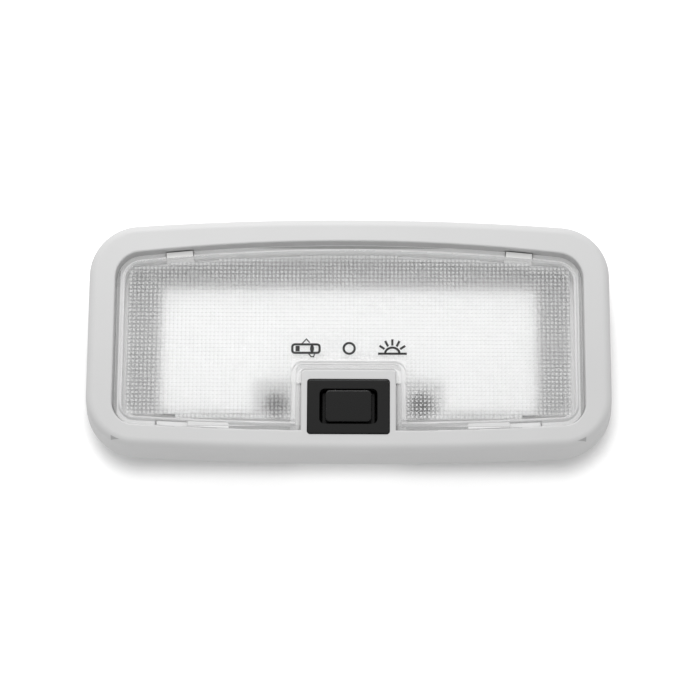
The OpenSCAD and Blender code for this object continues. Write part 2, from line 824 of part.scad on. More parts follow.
// Section of the lens rim, with flange, step, plate edge and skirt
module lens_section() {
  edge_x = flange_w + step_run + plate_round;
  inner = skirt_in + skirt_t + past;
  polygon([
    [0, flange_back_z],
    [0, flange_z],
    [flange_w, flange_z],
    [flange_w + step_run, lens_z - plate_round],
    [edge_x, lens_z - plate_round],
    [edge_x, lens_z],
    [inner, lens_z],
    [inner, plate_back_z],
    [skirt_in + skirt_t, plate_back_z],
    [skirt_in + skirt_t, skirt_z],
    [skirt_in, skirt_z],
    [skirt_in, flange_back_z]
  ]);
  translate([edge_x, lens_z - plate_round]) circle(r = plate_round);
}

// Flat shape around the island, grown by given distances
module island_shape(side_gap, top_gap, r, low_y) {
  w = island_w + 2 * side_gap;
  top_y = top_gap - island_top;
  translate([0, (top_y + low_y) / 2]) round_rect(w, top_y - low_y, r);
}

module lens() {
  bottom = -island_low - past;
  border_side = cutout_gap + border_w;
  border_top = cutout_top_gap + border_w;
  collar_low = skirt_in + skirt_t / 2 + lens_gap - opening_low;
  color("White", 0.35)
    difference() {
      union() {
        sweep(lens_outline) lens_section();
        translate([0, 0, plate_back_z])
          linear_extrude(height = lens_t) shape(inset(lens_outline, skirt_in + skirt_t + lap));
        // collar behind the plate, around the island
        translate([0, 0, skirt_z])
          linear_extrude(height = plate_back_z - skirt_z + lap)
            island_shape(border_side + skirt_t, border_top + skirt_t, cutout_corner_r + skirt_t, collar_low);
        // raised pads on the bottom flange
        intersection() {
          translate([0, 0, flange_z - lap])
            sweep(lens_outline) translate([lap / 2, 0]) square([skirt_in - lap, pad_h + lap]);
          for (side = [-1, 1])
            translate([side * (pad_from + pad_to) / 2, 0, 0])
              block(pad_to - pad_from, 0, -opening_low, flange_back_z, face_z);
        }
        // tongues under the frame
        at_low_edge(opening[1], tongue_x)
          catch_box(tongue_w, -lens_gap - skirt_in - skirt_t / 2, tongue_out, tongue_z, tongue_z + tongue_t);
      }
      translate([0, 0, floor_top_z - past])
        linear_extrude(height = face_z - floor_top_z + past)
          island_shape(cutout_gap, cutout_top_gap, cutout_corner_r, bottom);
      translate([0, 0, plate_back_z + border_t])
        linear_extrude(height = face_z - plate_back_z)
          island_shape(border_side, border_top, cutout_corner_r + lap, bottom);
      translate([0, 0, floor_top_z - past])
        linear_extrude(height = plate_back_z - floor_top_z + past)
          island_shape(border_side, border_top, cutout_corner_r + lap, bottom);
      // notches and windows for the hooks
      at_edge(opening[0], hook_x) {
        catch_box(hook_w + 2 * catch_gap, -hook_off - hook_t - window_gap, past, floor_top_z - past, face_z);
        catch_box(hook_w + 2 * catch_gap, -lens_gap - skirt_in - skirt_t - lap, 0,
          nose_z - catch_gap, nose_z + nose_h + catch_gap);
      }
      // notches over the tongues
      at_low_edge(opening[1], tongue_x)
        catch_box(tongue_w + 2 * catch_gap, -skirt_in, past, flange_back_z - lap, face_z);
    }
}

module opal_cover() {
  color("White")
    translate([0, 0, floor_top_z + cover_proud - cover_t]) linear_extrude(height = cover_t) cover_shape(0);
}

// Flat shape of the housing, moved inwards by a given distance
module housing_shape(in) {
  translate([0, (housing_top - housing_low) / 2])
    round_rect(housing_w - 2 * in, housing_top + housing_low - 2 * in, housing_corner_r - in);
}

module housing() {
  bay_outer = bay_w + 2 * bay_wall;
  color("WhiteSmoke")
    difference() {
      union() {
        difference() {
          union() {
            linear_extrude(height = floor_z) housing_shape(0);
            block(bay_outer, -bay_top + bay_wall, -bay_low, 0, floor_z);
          }
          difference() {
            translate([0, 0, housing_wall]) linear_extrude(height = floor_z) housing_shape(housing_wall);
            block(bay_outer, -bay_top + bay_wall, -housing_low, 0, floor_z);
          }
          block(bay_w, -bay_top, bay_wall - bay_low, housing_wall, floor_z + past);
          for (side = [-1, 1])
            translate([side * (bay_w + bay_wall) / 2, 0, 0])
              block(bay_wall + 2 * lap, -wire_slot_top, -wire_slot_top - wire_slot_w,
                housing_wall, housing_wall + wire_slot_h);
        }
        // rests under the switch
        for (side = [-1, 1])
          translate([side * (bay_w - rest_w) / 2, 0, 0])
            block(rest_w + lap, rest_d / 2 - switch_drop, -rest_d / 2 - switch_drop, housing_wall - lap, base_z);
        // posts for the screws
        for (side = [-1, 1])
          translate([side * screw_x, -screw_drop, housing_wall - lap])
            cylinder(r = post_r, h = floor_z - housing_wall + lap);
        // hooks that hold the lens
        at_edge(opening[0], hook_x) {
          catch_box(hook_w, -hook_off - hook_t, -hook_off, floor_z - hook_root, face_z - hook_sink);
          catch_box(hook_w, -hook_off - hook_t - hook_nose, lap - hook_off - hook_t, nose_z, nose_z + nose_h);
        }
        // tongues that go behind the roof panel
        for (side = [-1, 1])
          translate([
            housing_w / 2 - lap,
            side * panel_tongue_y - panel_tongue_w / 2,
            tongue_panel_z
          ])
            cube([panel_tongue_out + lap, panel_tongue_w, panel_tongue_t]);
        // guides for the panel spring
        for (side = [0, 1])
          mirror([0, side, 0]) {
            translate([-housing_w / 2 - spring_t - guide_gap - guide_lip, spring_w / 2 + guide_gap, guide_from])
              cube([spring_t + guide_gap + guide_lip + lap, guide_t, spring_leg_z - guide_from]);
            translate([-housing_w / 2 - spring_t - guide_gap - guide_lip, spring_w / 2 - guide_lip, guide_from])
              cube([guide_lip, guide_lip + guide_gap + lap, spring_leg_z - guide_from]);
          }
      }
      // screw bores
      for (side = [-1, 1])
        translate([side * screw_x, -screw_drop, housing_wall])
          cylinder(r = screw_r + post_gap, h = floor_z);
      // slots for the connector blades
      for (row = [-1, 0, 1])
        translate([
          housing_w / 2 - housing_wall - lap,
          row * blade_pitch - blade_w / 2 - blade_gap,
          strip_z
        ])
          cube([housing_wall + 2 * lap, blade_w + 2 * blade_gap, strip_t + blade_gap]);
    }
}

module reflector() {
  color("Silver")
    difference() {
      translate([-reflector_w / 2, bulb_y, 0])
        rotate([90, 0, 90])
          linear_extrude(height = reflector_w)
            polygon([
              [-reflector_rim, reflector_top],
              [-reflector_base, housing_wall],
              [reflector_base, housing_wall],
              [reflector_rim, reflector_top],
              [reflector_rim - reflector_slant, reflector_top],
              [reflector_base - reflector_slant / 2, housing_wall + reflector_t],
              [reflector_slant / 2 - reflector_base, housing_wall + reflector_t],
              [reflector_slant - reflector_rim, reflector_top]
            ]);
      // slots that clear the bulb holders and their strips
      for (side = [-1, 1])
        translate([side * (holder_x + strip_t), 0, 0])
          block(
            reflector_slot,
            bulb_y + (side > 0 ? reflector_rim + past : holder_w / 2 + lap),
            bulb_y - (side < 0 ? reflector_rim + past : holder_w / 2 + lap),
            0,
            reflector_top + past
          );
    }
}

module housing_screws() {
  dome_r = (pow(screw_head_r, 2) + pow(screw_dome_h, 2)) / (2 * screw_dome_h);
  color("DimGray")
    for (side = [-1, 1])
      translate([side * screw_x, -screw_drop, floor_top_z])
        difference() {
          union() {
            translate([0, 0, -screw_len]) cylinder(r = screw_r, h = screw_len + lap);
            cylinder(r = screw_head_r, h = screw_rim_h);
            intersection() {
              translate([0, 0, screw_rim_h + screw_dome_h - dome_r]) sphere(r = dome_r);
              translate([0, 0, screw_rim_h - lap]) cylinder(r = screw_head_r, h = screw_dome_h + 2 * lap);
            }
          }
          for (turn = [0, 90])
            rotate([0, 0, turn])
              translate([-cross_len / 2, -cross_w / 2, screw_rim_h + screw_dome_h - cross_depth])
                cube([cross_len, cross_w, cross_depth + past]);
        }
}

module panel_spring() {
  wall_x = -housing_w / 2;
  leg_x = wall_x - spring_t;
  bulge_x = wall_x - spring_out;
  end_x = wall_x - spring_out / 2;
  color("LightSteelBlue")
    translate([0, spring_w / 2, 0])
      rotate([90, 0, 0])
        linear_extrude(height = spring_w)
          polygon([
            [wall_x, spring_leg_z],
            [wall_x, spring_fold_z],
            [leg_x, spring_fold_z],
            [bulge_x - spring_t, spring_bulge_z],
            [end_x - spring_t, spring_end_z],
            [end_x, spring_end_z - spring_t / 2],
            [bulge_x, spring_bulge_z],
            [leg_x, spring_fold_z + 2 * spring_t],
            [leg_x, spring_leg_z]
          ]);
}

module switch_frame() {
  height = face_z + switch_proud - switch_back_z;
  shoulder_w = switch_w + 2 * shoulder_out;
  shoulder_d = switch_d + 2 * shoulder_out;
  color("DarkSlateGray")
    translate([0, -switch_drop, 0])
      difference() {
        union() {
          translate([0, 0, switch_back_z]) soft_slab(switch_w, switch_d, height, switch_corner_r, switch_round);
          translate([-shoulder_w / 2, -shoulder_d / 2, shoulder_z])
            cube([shoulder_w, shoulder_d, shoulder_h]);
        }
        translate([0, 0, switch_back_z - past])
          linear_extrude(height = height + 2 * past) round_rect(recess_w, recess_d, recess_corner_r);
        translate([0, 0, pivot_z])
          rotate([90, 0, 0])
            cylinder(r = pin_r + pin_gap, h = pin_span + 2 * pin_end_gap, center = true);
      }
}

module rocker() {
  color("DimGray")
    translate([0, -switch_drop, 0])
      difference() {
        union() {
          translate([0, 0, cap_back_z]) soft_slab(cap_w, cap_d, cap_h, cap_corner_r, cap_round);
          translate([-stem_w / 2, lap - cap_d / 2, stem_z])
            cube([stem_w, cap_d - 2 * lap, cap_back_z - stem_z + lap]);
          intersection() {
            translate([0, 0, pivot_z]) rotate([90, 0, 0]) cylinder(r = skirt_r, h = cap_d, center = true);
            block(2 * recess_w, cap_d, -cap_d, pivot_z - skirt_drop, pivot_z + skirt_rise);
          }
          translate([0, 0, pivot_z]) rotate([90, 0, 0]) cylinder(r = pin_r, h = pin_span, center = true);
        }
        translate([0, 0, stem_z - past])
          cylinder(r = plunger_r + plunger_gap, h = coil_z + coil_h - stem_z + past);
      }
}

module plunger() {
  color("Gold")
    translate([0, -switch_drop, tip_z]) {
      translate([0, 0, tip_r]) sphere(r = tip_r);
      translate([0, 0, tip_r]) cylinder(r = tip_r, h = plunger_neck_h - tip_r + lap);
      translate([0, 0, plunger_neck_h]) cylinder(r = plunger_r, h = plunger_h - plunger_neck_h);
    }
}

module plunger_spring() {
  steps = 10;
  color("Silver")
    translate([0, -switch_drop, coil_z])
      linear_extrude(height = coil_h, twist = -360 * coil_turns, slices = steps * ceil(coil_turns))
        polygon([
          for (i = [0:steps]) coil_r * [cos(coil_fill * i / steps), sin(coil_fill * i / steps)],
          for (i = [steps:-1:0])
            (coil_r - coil_wire) * [cos(coil_fill * i / steps), sin(coil_fill * i / steps)]
        ]);
}

module seesaw_contact() {
  color("Gold")
    translate([0, -switch_drop, axis_z]) {
      translate([-seesaw_w / 2, -seesaw_d / 2, 0]) cube([seesaw_w, seesaw_d, seesaw_t]);
      for (side = [0, 1])
        mirror([0, side, 0])
          translate([-cheek_w / 2, seesaw_d / 2 - cheek_t, -cheek_h])
            cube([cheek_w, cheek_t, cheek_h + seesaw_t]);
    }
}

module switch_base() {
  slot_w = terminal_t + 2 * plug_gap;
  slot_d = terminal_d + 2 * plug_gap;
  color("SaddleBrown")
    translate([0, -switch_drop, base_z])
      difference() {
        union() {
          translate([-switch_w / 2, -switch_d / 2, 0]) cube([switch_w, switch_d, base_t]);
          linear_extrude(height = base_t + plug_h)
            round_rect(recess_w - 2 * plug_gap, recess_d - 2 * plug_gap, recess_corner_r - plug_gap);
        }
        for (column = [-1, 0, 1])
          translate([column * terminal_x - slot_w / 2, -slot_d / 2, -past])
            cube([slot_w, slot_d, base_t + plug_h + 2 * past]);
      }
}

// Upright terminal of the switch with a contact button on its head
module outer_terminal(x) {
  color("Goldenrod")
    translate([x, -switch_drop, 0]) {
      translate([-terminal_t / 2, -terminal_d / 2, strip_z + strip_t])
        cube([terminal_t, terminal_d, head_z - strip_z - strip_t + lap]);
      translate([-head_w / 2, -terminal_d / 2, head_z]) cube([head_w, terminal_d, head_t]);
      translate([0, 0, head_z + head_t - lap]) cylinder(r = button_r, h = button_h + lap);
    }
}

module terminal_door() {
  outer_terminal(terminal_x);
}

module terminal_on() {
  outer_terminal(-terminal_x);
}

module terminal_common() {
  centre_z = axis_z - fulcrum_gap - fulcrum_r;
  color("Goldenrod")
    translate([0, -switch_drop, 0]) {
      translate([-terminal_t / 2, -terminal_d / 2, upper_strip_z + strip_t])
        cube([terminal_t, terminal_d, centre_z - upper_strip_z - strip_t]);
      translate([0, 0, centre_z])
        rotate([90, 0, 0]) cylinder(r = fulcrum_r, h = terminal_d, center = true);
    }
}

// Flat strip between two corners at a given height
module strip(from, to, z) {
  translate([min(from[0], to[0]), min(from[1], to[1]), z])
    cube([abs(to[0] - from[0]), abs(to[1] - from[1]), strip_t]);
}

// Connector blade with its inner end at a given distance inside the housing wall
module blade(row, inside) {
  y = row * blade_pitch;
  strip(
    [housing_w / 2 - housing_wall - inside, y - blade_w / 2],
    [housing_w / 2 + blade_out, y + blade_w / 2],
    strip_z
  );
}

// Upright plate that holds one end of the bulb
module bulb_holder(from_z) {
  difference() {
    translate([holder_x, bulb_y - holder_w / 2, from_z]) cube([strip_t, holder_w, holder_top - from_z]);
    translate([holder_x - past, bulb_y, bulb_z])
      rotate([0, 90, 0]) cylinder(r = holder_hole_r, h = strip_t + 2 * past);
  }
}

module feed_contact() {
  inner_x = housing_w / 2 - housing_wall - blade_in;
  color("Goldenrod") {
    blade(1, blade_in);
    strip([inner_x, blade_pitch], [inner_x + strip_w, feed_lane + strip_w / 2], strip_z);
    strip([holder_x, feed_lane - strip_w / 2], [inner_x + strip_w, feed_lane + strip_w / 2], strip_z);
    strip([holder_x, bulb_y - holder_w / 2], [holder_x + strip_w, feed_lane], strip_z);
    bulb_holder(strip_z);
  }
}

module lamp_contact() {
  color("Goldenrod") {
    mirror([1, 0, 0]) {
      bulb_holder(upper_strip_z);
      strip([holder_x, bulb_y + holder_w / 2], [holder_x + strip_w, -earth_lane - strip_w / 2], upper_strip_z);
      strip([-strip_w / 2, -earth_lane - strip_w / 2], [holder_x + strip_w, strip_w / 2 - earth_lane],
        upper_strip_z);
    }
    strip([-strip_w / 2, -earth_lane], [strip_w / 2, -switch_drop - terminal_d / 2], upper_strip_z);
  }
}

module door_contact() {
  inner_x = housing_w / 2 - housing_wall - blade_in;
  color("Goldenrod") {
    blade(-1, blade_in);
    strip([inner_x, -blade_pitch], [inner_x + strip_w, -door_lane - strip_w / 2], strip_z);
    strip([terminal_x - strip_w / 2, -door_lane - strip_w / 2], [inner_x + strip_w, strip_w / 2 - door_lane],
      strip_z);
    strip([terminal_x - strip_w / 2, -door_lane], [terminal_x + strip_w / 2, -switch_drop - terminal_d / 2],
      strip_z);
  }
}

module earth_contact() {
  inner_x = housing_w / 2 - housing_wall - earth_blade_in;
  color("Goldenrod") {
    blade(0, earth_blade_in);
    strip([inner_x, 0], [inner_x + strip_w, -earth_lane - strip_w / 2], strip_z);
    strip([-terminal_x - strip_w / 2, -earth_lane - strip_w / 2],
      [inner_x + strip_w, strip_w / 2 - earth_lane], strip_z);
    strip([-terminal_x - strip_w / 2, -earth_lane],
      [strip_w / 2 - terminal_x, -switch_drop - terminal_d / 2], strip_z);
  }
}

// Moves a shape made along Z onto the bulb's axis
module on_bulb_axis() {
  translate([0, bulb_y, bulb_z]) rotate([0, 90, 0]) children();
}

// Glass body with rounded ends and a given radius
module glass_body(r) {
  cylinder(r = r, h = 2 * glass_half, center = true);
  for (end = [-1, 1]) translate([0, 0, end * glass_half]) sphere(r = r);
}

module bulb_glass() {
  color("White", 0.3)
    on_bulb_axis()
      difference() {
        union() {
          glass_body(glass_r);
          cylinder(r = neck_r, h = 2 * neck_end, center = true);
        }
        glass_body(glass_r - glass_t);
        cylinder(r = support_r + cap_gap, h = 2 * neck_end + past, center = true);
      }
}

module bulb_cap() {
  color("Silver")
    on_bulb_axis()
      difference() {
        union() {
          translate([0, 0, cap_from]) cylinder(r = cap_r, h = nose_from - cap_from);
          translate([0, 0, nose_from]) cylinder(r1 = cap_r, r2 = nose_end_r, h = nose_len);
        }
        translate([0, 0, cap_from - past]) cylinder(r = neck_r + cap_gap, h = cap_inside - cap_from + past);
      }
}

module bulb_cap_right() {
  bulb_cap();
}

module bulb_cap_left() {
  mirror([1, 0, 0]) bulb_cap();
}

module bulb_filament() {
  color("DarkGray")
    on_bulb_axis() {
      cylinder(r = filament_r, h = filament_len, center = true);
      cylinder(r = support_r, h = 2 * cap_inside, center = true);
    }
}

bezel();
lens();
opal_cover();
housing();
reflector();
housing_screws();
panel_spring();
switch_frame();
rocker();
plunger();
plunger_spring();
seesaw_contact();
switch_base();
terminal_door();
terminal_common();
terminal_on();
feed_contact();
lamp_contact();
door_contact();
earth_contact();
bulb_glass();
bulb_cap_left();
bulb_cap_right();
bulb_filament();
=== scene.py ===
import math

import bmesh
import bpy
from mathutils import Matrix, Vector


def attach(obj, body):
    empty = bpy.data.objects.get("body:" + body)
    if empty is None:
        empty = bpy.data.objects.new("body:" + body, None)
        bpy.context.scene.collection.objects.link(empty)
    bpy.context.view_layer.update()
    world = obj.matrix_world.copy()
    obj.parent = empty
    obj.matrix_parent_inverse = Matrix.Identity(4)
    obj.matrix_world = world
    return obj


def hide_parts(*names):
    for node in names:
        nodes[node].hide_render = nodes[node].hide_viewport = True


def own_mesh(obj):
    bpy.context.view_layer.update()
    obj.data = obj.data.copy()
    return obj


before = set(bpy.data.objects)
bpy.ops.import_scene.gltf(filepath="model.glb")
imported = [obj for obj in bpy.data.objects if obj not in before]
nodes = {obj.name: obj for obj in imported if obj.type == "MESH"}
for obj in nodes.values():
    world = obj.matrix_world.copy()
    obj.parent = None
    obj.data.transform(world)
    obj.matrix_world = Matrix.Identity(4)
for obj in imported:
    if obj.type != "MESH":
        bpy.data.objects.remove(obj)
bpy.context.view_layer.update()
MM = 0.001

# Viewpoint. The lamp lies on its back, seen from above, a little from its switch side, with a long lens.
# The place that the viewpoint aims at and its pixel in the picture set the framing.
EYE_DISTANCE = 600 * MM
EYE_TILT = math.radians(13.7)
EYE_PAN = math.radians(0.45)
EYE_ROLL = math.radians(0.3)
AIM = Vector((0, -0.585 * MM, 24.6 * MM))
PIXELS_PER_METRE = 3800
PICTURE = 700
AIM_PIXEL = (348.8, 335.5)

eye_back = Vector((math.tan(EYE_PAN), -math.tan(EYE_TILT), 1)).normalized()
eye_right = Vector((0, 1, 0)).cross(eye_back).normalized()
eye_turn = Matrix.Rotation(EYE_ROLL, 3, eye_back)
eye_right = eye_turn @ eye_right
eye_up = eye_back.cross(eye_right)
eye = bpy.data.cameras.new("viewpoint")
eye.sensor_width = 36
eye.lens = 36 * PIXELS_PER_METRE * EYE_DISTANCE / PICTURE
eye.shift_x = (PICTURE / 2 - AIM_PIXEL[0]) / PICTURE
eye.shift_y = (AIM_PIXEL[1] - PICTURE / 2) / PICTURE
eye.clip_start = 10 * MM
eye_stand = bpy.data.objects.new("viewpoint", eye)
eye_stand.matrix_world = (
    Matrix.Translation(AIM + eye_back * EYE_DISTANCE)
    @ Matrix((eye_right, eye_up, eye_back)).transposed().to_4x4()
)
bpy.context.scene.collection.objects.link(eye_stand)
bpy.context.scene.camera = eye_stand

# Bezel. One moulding in light grey plastic with a fine spark-eroded grain, so it is matt with a soft sheen.
# Every moulded piece of the lamp shares this kind of surface, each with its own tone and grain.
BEZEL_TONE = (0.615, 0.615, 0.615)
BEZEL_GRAIN = 2600
# Painted shade: the floor, ledge and lower walls of the well behind the lens are given darker tones where the
# well lies in shade; beside the switch the floor is given nearly the bezel's own tone.
FLOOR_SHADE = (0.32, 0.32, 0.32)
FLOOR_HEIGHT = 15.0 * MM
FLOOR_REACH = (64 * MM, 27 * MM, 0.3 * MM)
POCKET_MIDDLE = (0, -17 * MM, FLOOR_HEIGHT)
POCKET_REACH = (27 * MM, 8 * MM, 0.3 * MM)
POCKET_SHADE = (0.62, 0.62, 0.62)
LEDGE_HEIGHT = 20.6 * MM
LEDGE_SHADE = (0.4, 0.4, 0.4)
# The box for the lower walls also takes in a little of the rounded outer edge at both lower corners.
WALL_MIDDLE = (0, -17 * MM, 22.6 * MM)
WALL_REACH = (62 * MM, 11.5 * MM, 1.7 * MM)
WALL_SHADE = (0.4, 0.4, 0.4)
MASK_EDGE = 0.05 * MM


def add_node(tree, kind, **settings):
    """Adds a node and sets its plain values."""
    node = tree.nodes.new(kind)
    for title, value in settings.items():
        setattr(node, title, value)
    return node


def add_noise(tree, place, scale, detail=3.0, stretch=None):
    """Noise on the piece's own coordinates, stretched where a sheet is brushed or rolled."""
    noise = tree.nodes.new("ShaderNodeTexNoise")
    noise.inputs["Detail"].default_value = detail
    if stretch is not None:
        mapping = tree.nodes.new("ShaderNodeMapping")
        mapping.inputs["Scale"].default_value = stretch
        tree.links.new(place, mapping.inputs["Vector"])
        place = mapping.outputs["Vector"]
    tree.links.new(place, noise.inputs["Vector"])
    if isinstance(scale, (int, float)):
        noise.inputs["Scale"].default_value = scale
    else:
        tree.links.new(scale, noise.inputs["Scale"])
    return noise.outputs["Fac"]


def new_group(name, inputs, outputs):
    """An empty node group with named inputs and outputs."""
    tree = bpy.data.node_groups.new(name, "ShaderNodeTree")
    for title, kind, value in inputs:
        socket = tree.interface.new_socket(title, in_out="INPUT", socket_type="NodeSocket" + kind)
        socket.default_value = value
    for title, kind in outputs:
        tree.interface.new_socket(title, in_out="OUTPUT", socket_type="NodeSocket" + kind)
    return tree, tree.nodes.new("NodeGroupInput").outputs, tree.nodes.new("NodeGroupOutput").inputs


def spread_value(tree, factor, middle, spread):
    """A value that follows a noise factor around a middle, by a spread."""
    centred = add_node(tree, "ShaderNodeMath", operation="SUBTRACT")
    centred.inputs[1].default_value = 0.5
    tree.links.new(factor, centred.inputs[0])
    scaled = add_node(tree, "ShaderNodeMath", operation="MULTIPLY_ADD")
    tree.links.new(centred.outputs[0], scaled.inputs[0])
    tree.links.new(spread, scaled.inputs[1])
    if isinstance(middle, (int, float)):
        scaled.inputs[2].default_value = middle
    else:
        tree.links.new(middle, scaled.inputs[2])
    return scaled.outputs[0]


moulded_skin, skin_in, skin_out = new_group(
    "moulded_skin",
    [
        ("Tone", "Color", (0.6, 0.6, 0.6, 1)),
        ("Mottle", "Float", 0.06),
        ("Grain", "Float", 2600),
        ("Shine", "Float", 0.45),
        ("Shine spread", "Float", 0.15),
    ],
    [("Colour", "Color"), ("Roughness", "Float"), ("Height", "Float")],
)
skin_place = moulded_skin.nodes.new("ShaderNodeTexCoord").outputs["Object"]
skin_cloud = add_noise(moulded_skin, skin_place, 60)
skin_grain = add_noise(moulded_skin, skin_place, skin_in["Grain"], detail=2)
skin_tint = add_node(moulded_skin, "ShaderNodeVectorMath", operation="SCALE")
moulded_skin.links.new(skin_in["Tone"], skin_tint.inputs[0])
moulded_skin.links.new(
    spread_value(moulded_skin, skin_cloud, 1.0, skin_in["Mottle"]), skin_tint.inputs["Scale"]
)
moulded_skin.links.new(skin_tint.outputs["Vector"], skin_out["Colour"])
moulded_skin.links.new(
    spread_value(moulded_skin, skin_grain, skin_in["Shine"], skin_in["Shine spread"]),
    skin_out["Roughness"],
)
moulded_skin.links.new(skin_grain, skin_out["Height"])


def skin_material(name, group, settings, relief, **sockets):
    """A material whose colour, roughness and relief come from a surface group."""
    material = bpy.data.materials.new(name)
    material.use_nodes = True
    tree = material.node_tree
    shader = tree.nodes["Principled BSDF"]
    surface = tree.nodes.new("ShaderNodeGroup")
    surface.node_tree = group
    for title, value in settings.items():
        surface.inputs[title].default_value = value
    tree.links.new(surface.outputs["Colour"], shader.inputs["Base Color"])
    tree.links.new(surface.outputs["Roughness"], shader.inputs["Roughness"])
    bump = tree.nodes.new("ShaderNodeBump")
    bump.inputs["Distance"].default_value = relief
    tree.links.new(surface.outputs["Height"], bump.inputs["Height"])
    tree.links.new(bump.outputs["Normal"], shader.inputs["Normal"])
    for title, value in sockets.items():
        shader.inputs[title.replace("_", " ")].default_value = value
    return material


def finish_node(name, material):
    """Gives a CAD piece its finish."""
    piece = nodes[name]
    piece.data.materials.clear()
    piece.data.materials.append(material)


def moulded(name, tone, grain=2600, shine=0.45, mottle=0.05, relief=0.02 * MM, **sockets):
    """A moulded plastic."""
    settings = {"Tone": (*tone, 1), "Grain": grain, "Shine": shine, "Mottle": mottle}
    return skin_material(name, moulded_skin, settings, relief, **sockets)


def box_mask(tree, place, middle, reach):
    """Mask of a box, given by its middle and how far it reaches each way."""
    link = tree.links.new
    from_middle = add_node(tree, "ShaderNodeVectorMath", operation="SUBTRACT")
    from_middle.inputs[1].default_value = middle
    link(place, from_middle.inputs[0])
    away = add_node(tree, "ShaderNodeVectorMath", operation="ABSOLUTE")
    link(from_middle.outputs["Vector"], away.inputs[0])
    inside = add_node(tree, "ShaderNodeVectorMath", operation="SUBTRACT")
    inside.inputs[0].default_value = reach
    link(away.outputs["Vector"], inside.inputs[1])
    parts = tree.nodes.new("ShaderNodeSeparateXYZ")
    link(inside.outputs["Vector"], parts.inputs["Vector"])
    level = parts.outputs["X"]
    for axis in ("Y", "Z"):
        least = add_node(tree, "ShaderNodeMath", operation="MINIMUM")
        link(level, least.inputs[0])
        link(parts.outputs[axis], least.inputs[1])
        level = least.outputs[0]
    mask = tree.nodes.new("ShaderNodeMapRange")
    mask.inputs["From Max"].default_value = MASK_EDGE
    link(level, mask.inputs["Value"])
    return mask.outputs["Result"]


def painted_well_shade(material):
    """Paints shade into the bezel's tone: dark on its floor behind the lens, less so beside the switch, and
    dark on its ledge and its lower walls, where the well is in shade.
    """
    tree = material.node_tree
    surface = next(node for node in tree.nodes if node.type == "GROUP")
    place = tree.nodes.new("ShaderNodeTexCoord").outputs["Object"]
    tone = None
    for middle, reach, shade in (
        ((0, 0, FLOOR_HEIGHT), FLOOR_REACH, FLOOR_SHADE),
        (POCKET_MIDDLE, POCKET_REACH, POCKET_SHADE),
        ((0, 0, LEDGE_HEIGHT), FLOOR_REACH, LEDGE_SHADE),
        (WALL_MIDDLE, WALL_REACH, WALL_SHADE),
    ):
        mix = add_node(tree, "ShaderNodeMix", data_type="RGBA")
        tree.links.new(box_mask(tree, place, middle, reach), mix.inputs["Factor"])
        mix.inputs["A"].default_value = (*BEZEL_TONE, 1)
        if tone is not None:
            tree.links.new(tone, mix.inputs["A"])
        mix.inputs["B"].default_value = (*shade, 1)
        tone = mix.outputs["Result"]
    tree.links.new(tone, surface.inputs["Tone"])
    return material


# The bezel's grey, with painted shade in the well behind the lens.
finish_node("bezel", painted_well_shade(moulded("grey_bezel_plastic", BEZEL_TONE, BEZEL_GRAIN, 0.5)))

# Lens. A clear tray with a flat flange, a skirt and a stippled back that spreads the bulb's light.
# The stipple is a square grid of small lands between slopes on the back of the plate, clear of the island; a
# white haze on the lands paints the stipple's glints.
PLATE_BACK = 21.0 * MM
PLATE_FRONT = 22.6 * MM
STIPPLE_PITCH = (1.085 * MM, 1.06 * MM)
STIPPLE_LAND = 0.4
LAND_DEPTH = 0.05 * MM
STIPPLE_SLOPE = 0.4
STIPPLE_HAZE = 0.9
# Painted glints and highlights: a white haze laid over the clear plastic on the stipple's lands and on the
# lens's edges.
GLINT_TONE = (0.95, 0.95, 0.95)
LAND_GLINT_SHARE = 0.8
EDGE_GLINT_SHARE = 0.95
BORDER_GLINT_SHARE = 0.25
SKIRT_GLINT_SHARE = 0.7
SKIRT_MIDDLE = (0, 0, 18.6 * MM)
SKIRT_REACH = (61 * MM, 24.2 * MM, 2.3 * MM)
BORDER_MIDDLE = (0, -17 * MM, 21.8 * MM)
BORDER_REACH = (15.2 * MM, 10.6 * MM, 1.2 * MM)
PAD_MIDDLE = (0, -26.4 * MM, 22.4 * MM)
PAD_REACH = (42.3 * MM, 1.9 * MM, 0.55 * MM)
STIPPLE_GAP = 0.01 * MM
STIPPLE_COUNT = (108, 44)
STIPPLE_SIDE = 58.6 * MM
STIPPLE_TOP = 21.9 * MM
STIPPLE_LOW = -22.8 * MM
STIPPLE_TOP_ARC = 500 * MM
STIPPLE_LOW_ARC = 990 * MM
ISLAND_SIDE = 15.3 * MM
ISLAND_TOP = -6.4 * MM


def painted_glints(tree, clear, share):
    """Lays a white haze over a clear shader, by a share that is a number or a mask; the haze paints glints
    and edge highlights.
    """
    haze = tree.nodes.new("ShaderNodeBsdfPrincipled")
    haze.inputs["Base Color"].default_value = (*GLINT_TONE, 1)
    haze.inputs["Roughness"].default_value = 0.9
    haze.inputs["Specular IOR Level"].default_value = 0
    cover = tree.nodes.new("ShaderNodeMixShader")
    if isinstance(share, (int, float)):
        cover.inputs["Fac"].default_value = share
    else:
        tree.links.new(share(tree), cover.inputs["Fac"])
    tree.links.new(clear, cover.inputs[1])
    tree.links.new(haze.outputs["BSDF"], cover.inputs[2])
    return cover.outputs["Shader"]


def ray_mask(tree, one, other):
    """One for rays of either of two kinds, and zero for the rest."""
    path = tree.nodes.new("ShaderNodeLightPath")
    either = add_node(tree, "ShaderNodeMath", operation="MAXIMUM")
    tree.links.new(path.outputs[one], either.inputs[0])
    tree.links.new(path.outputs[other], either.inputs[1])
    return either.outputs[0]


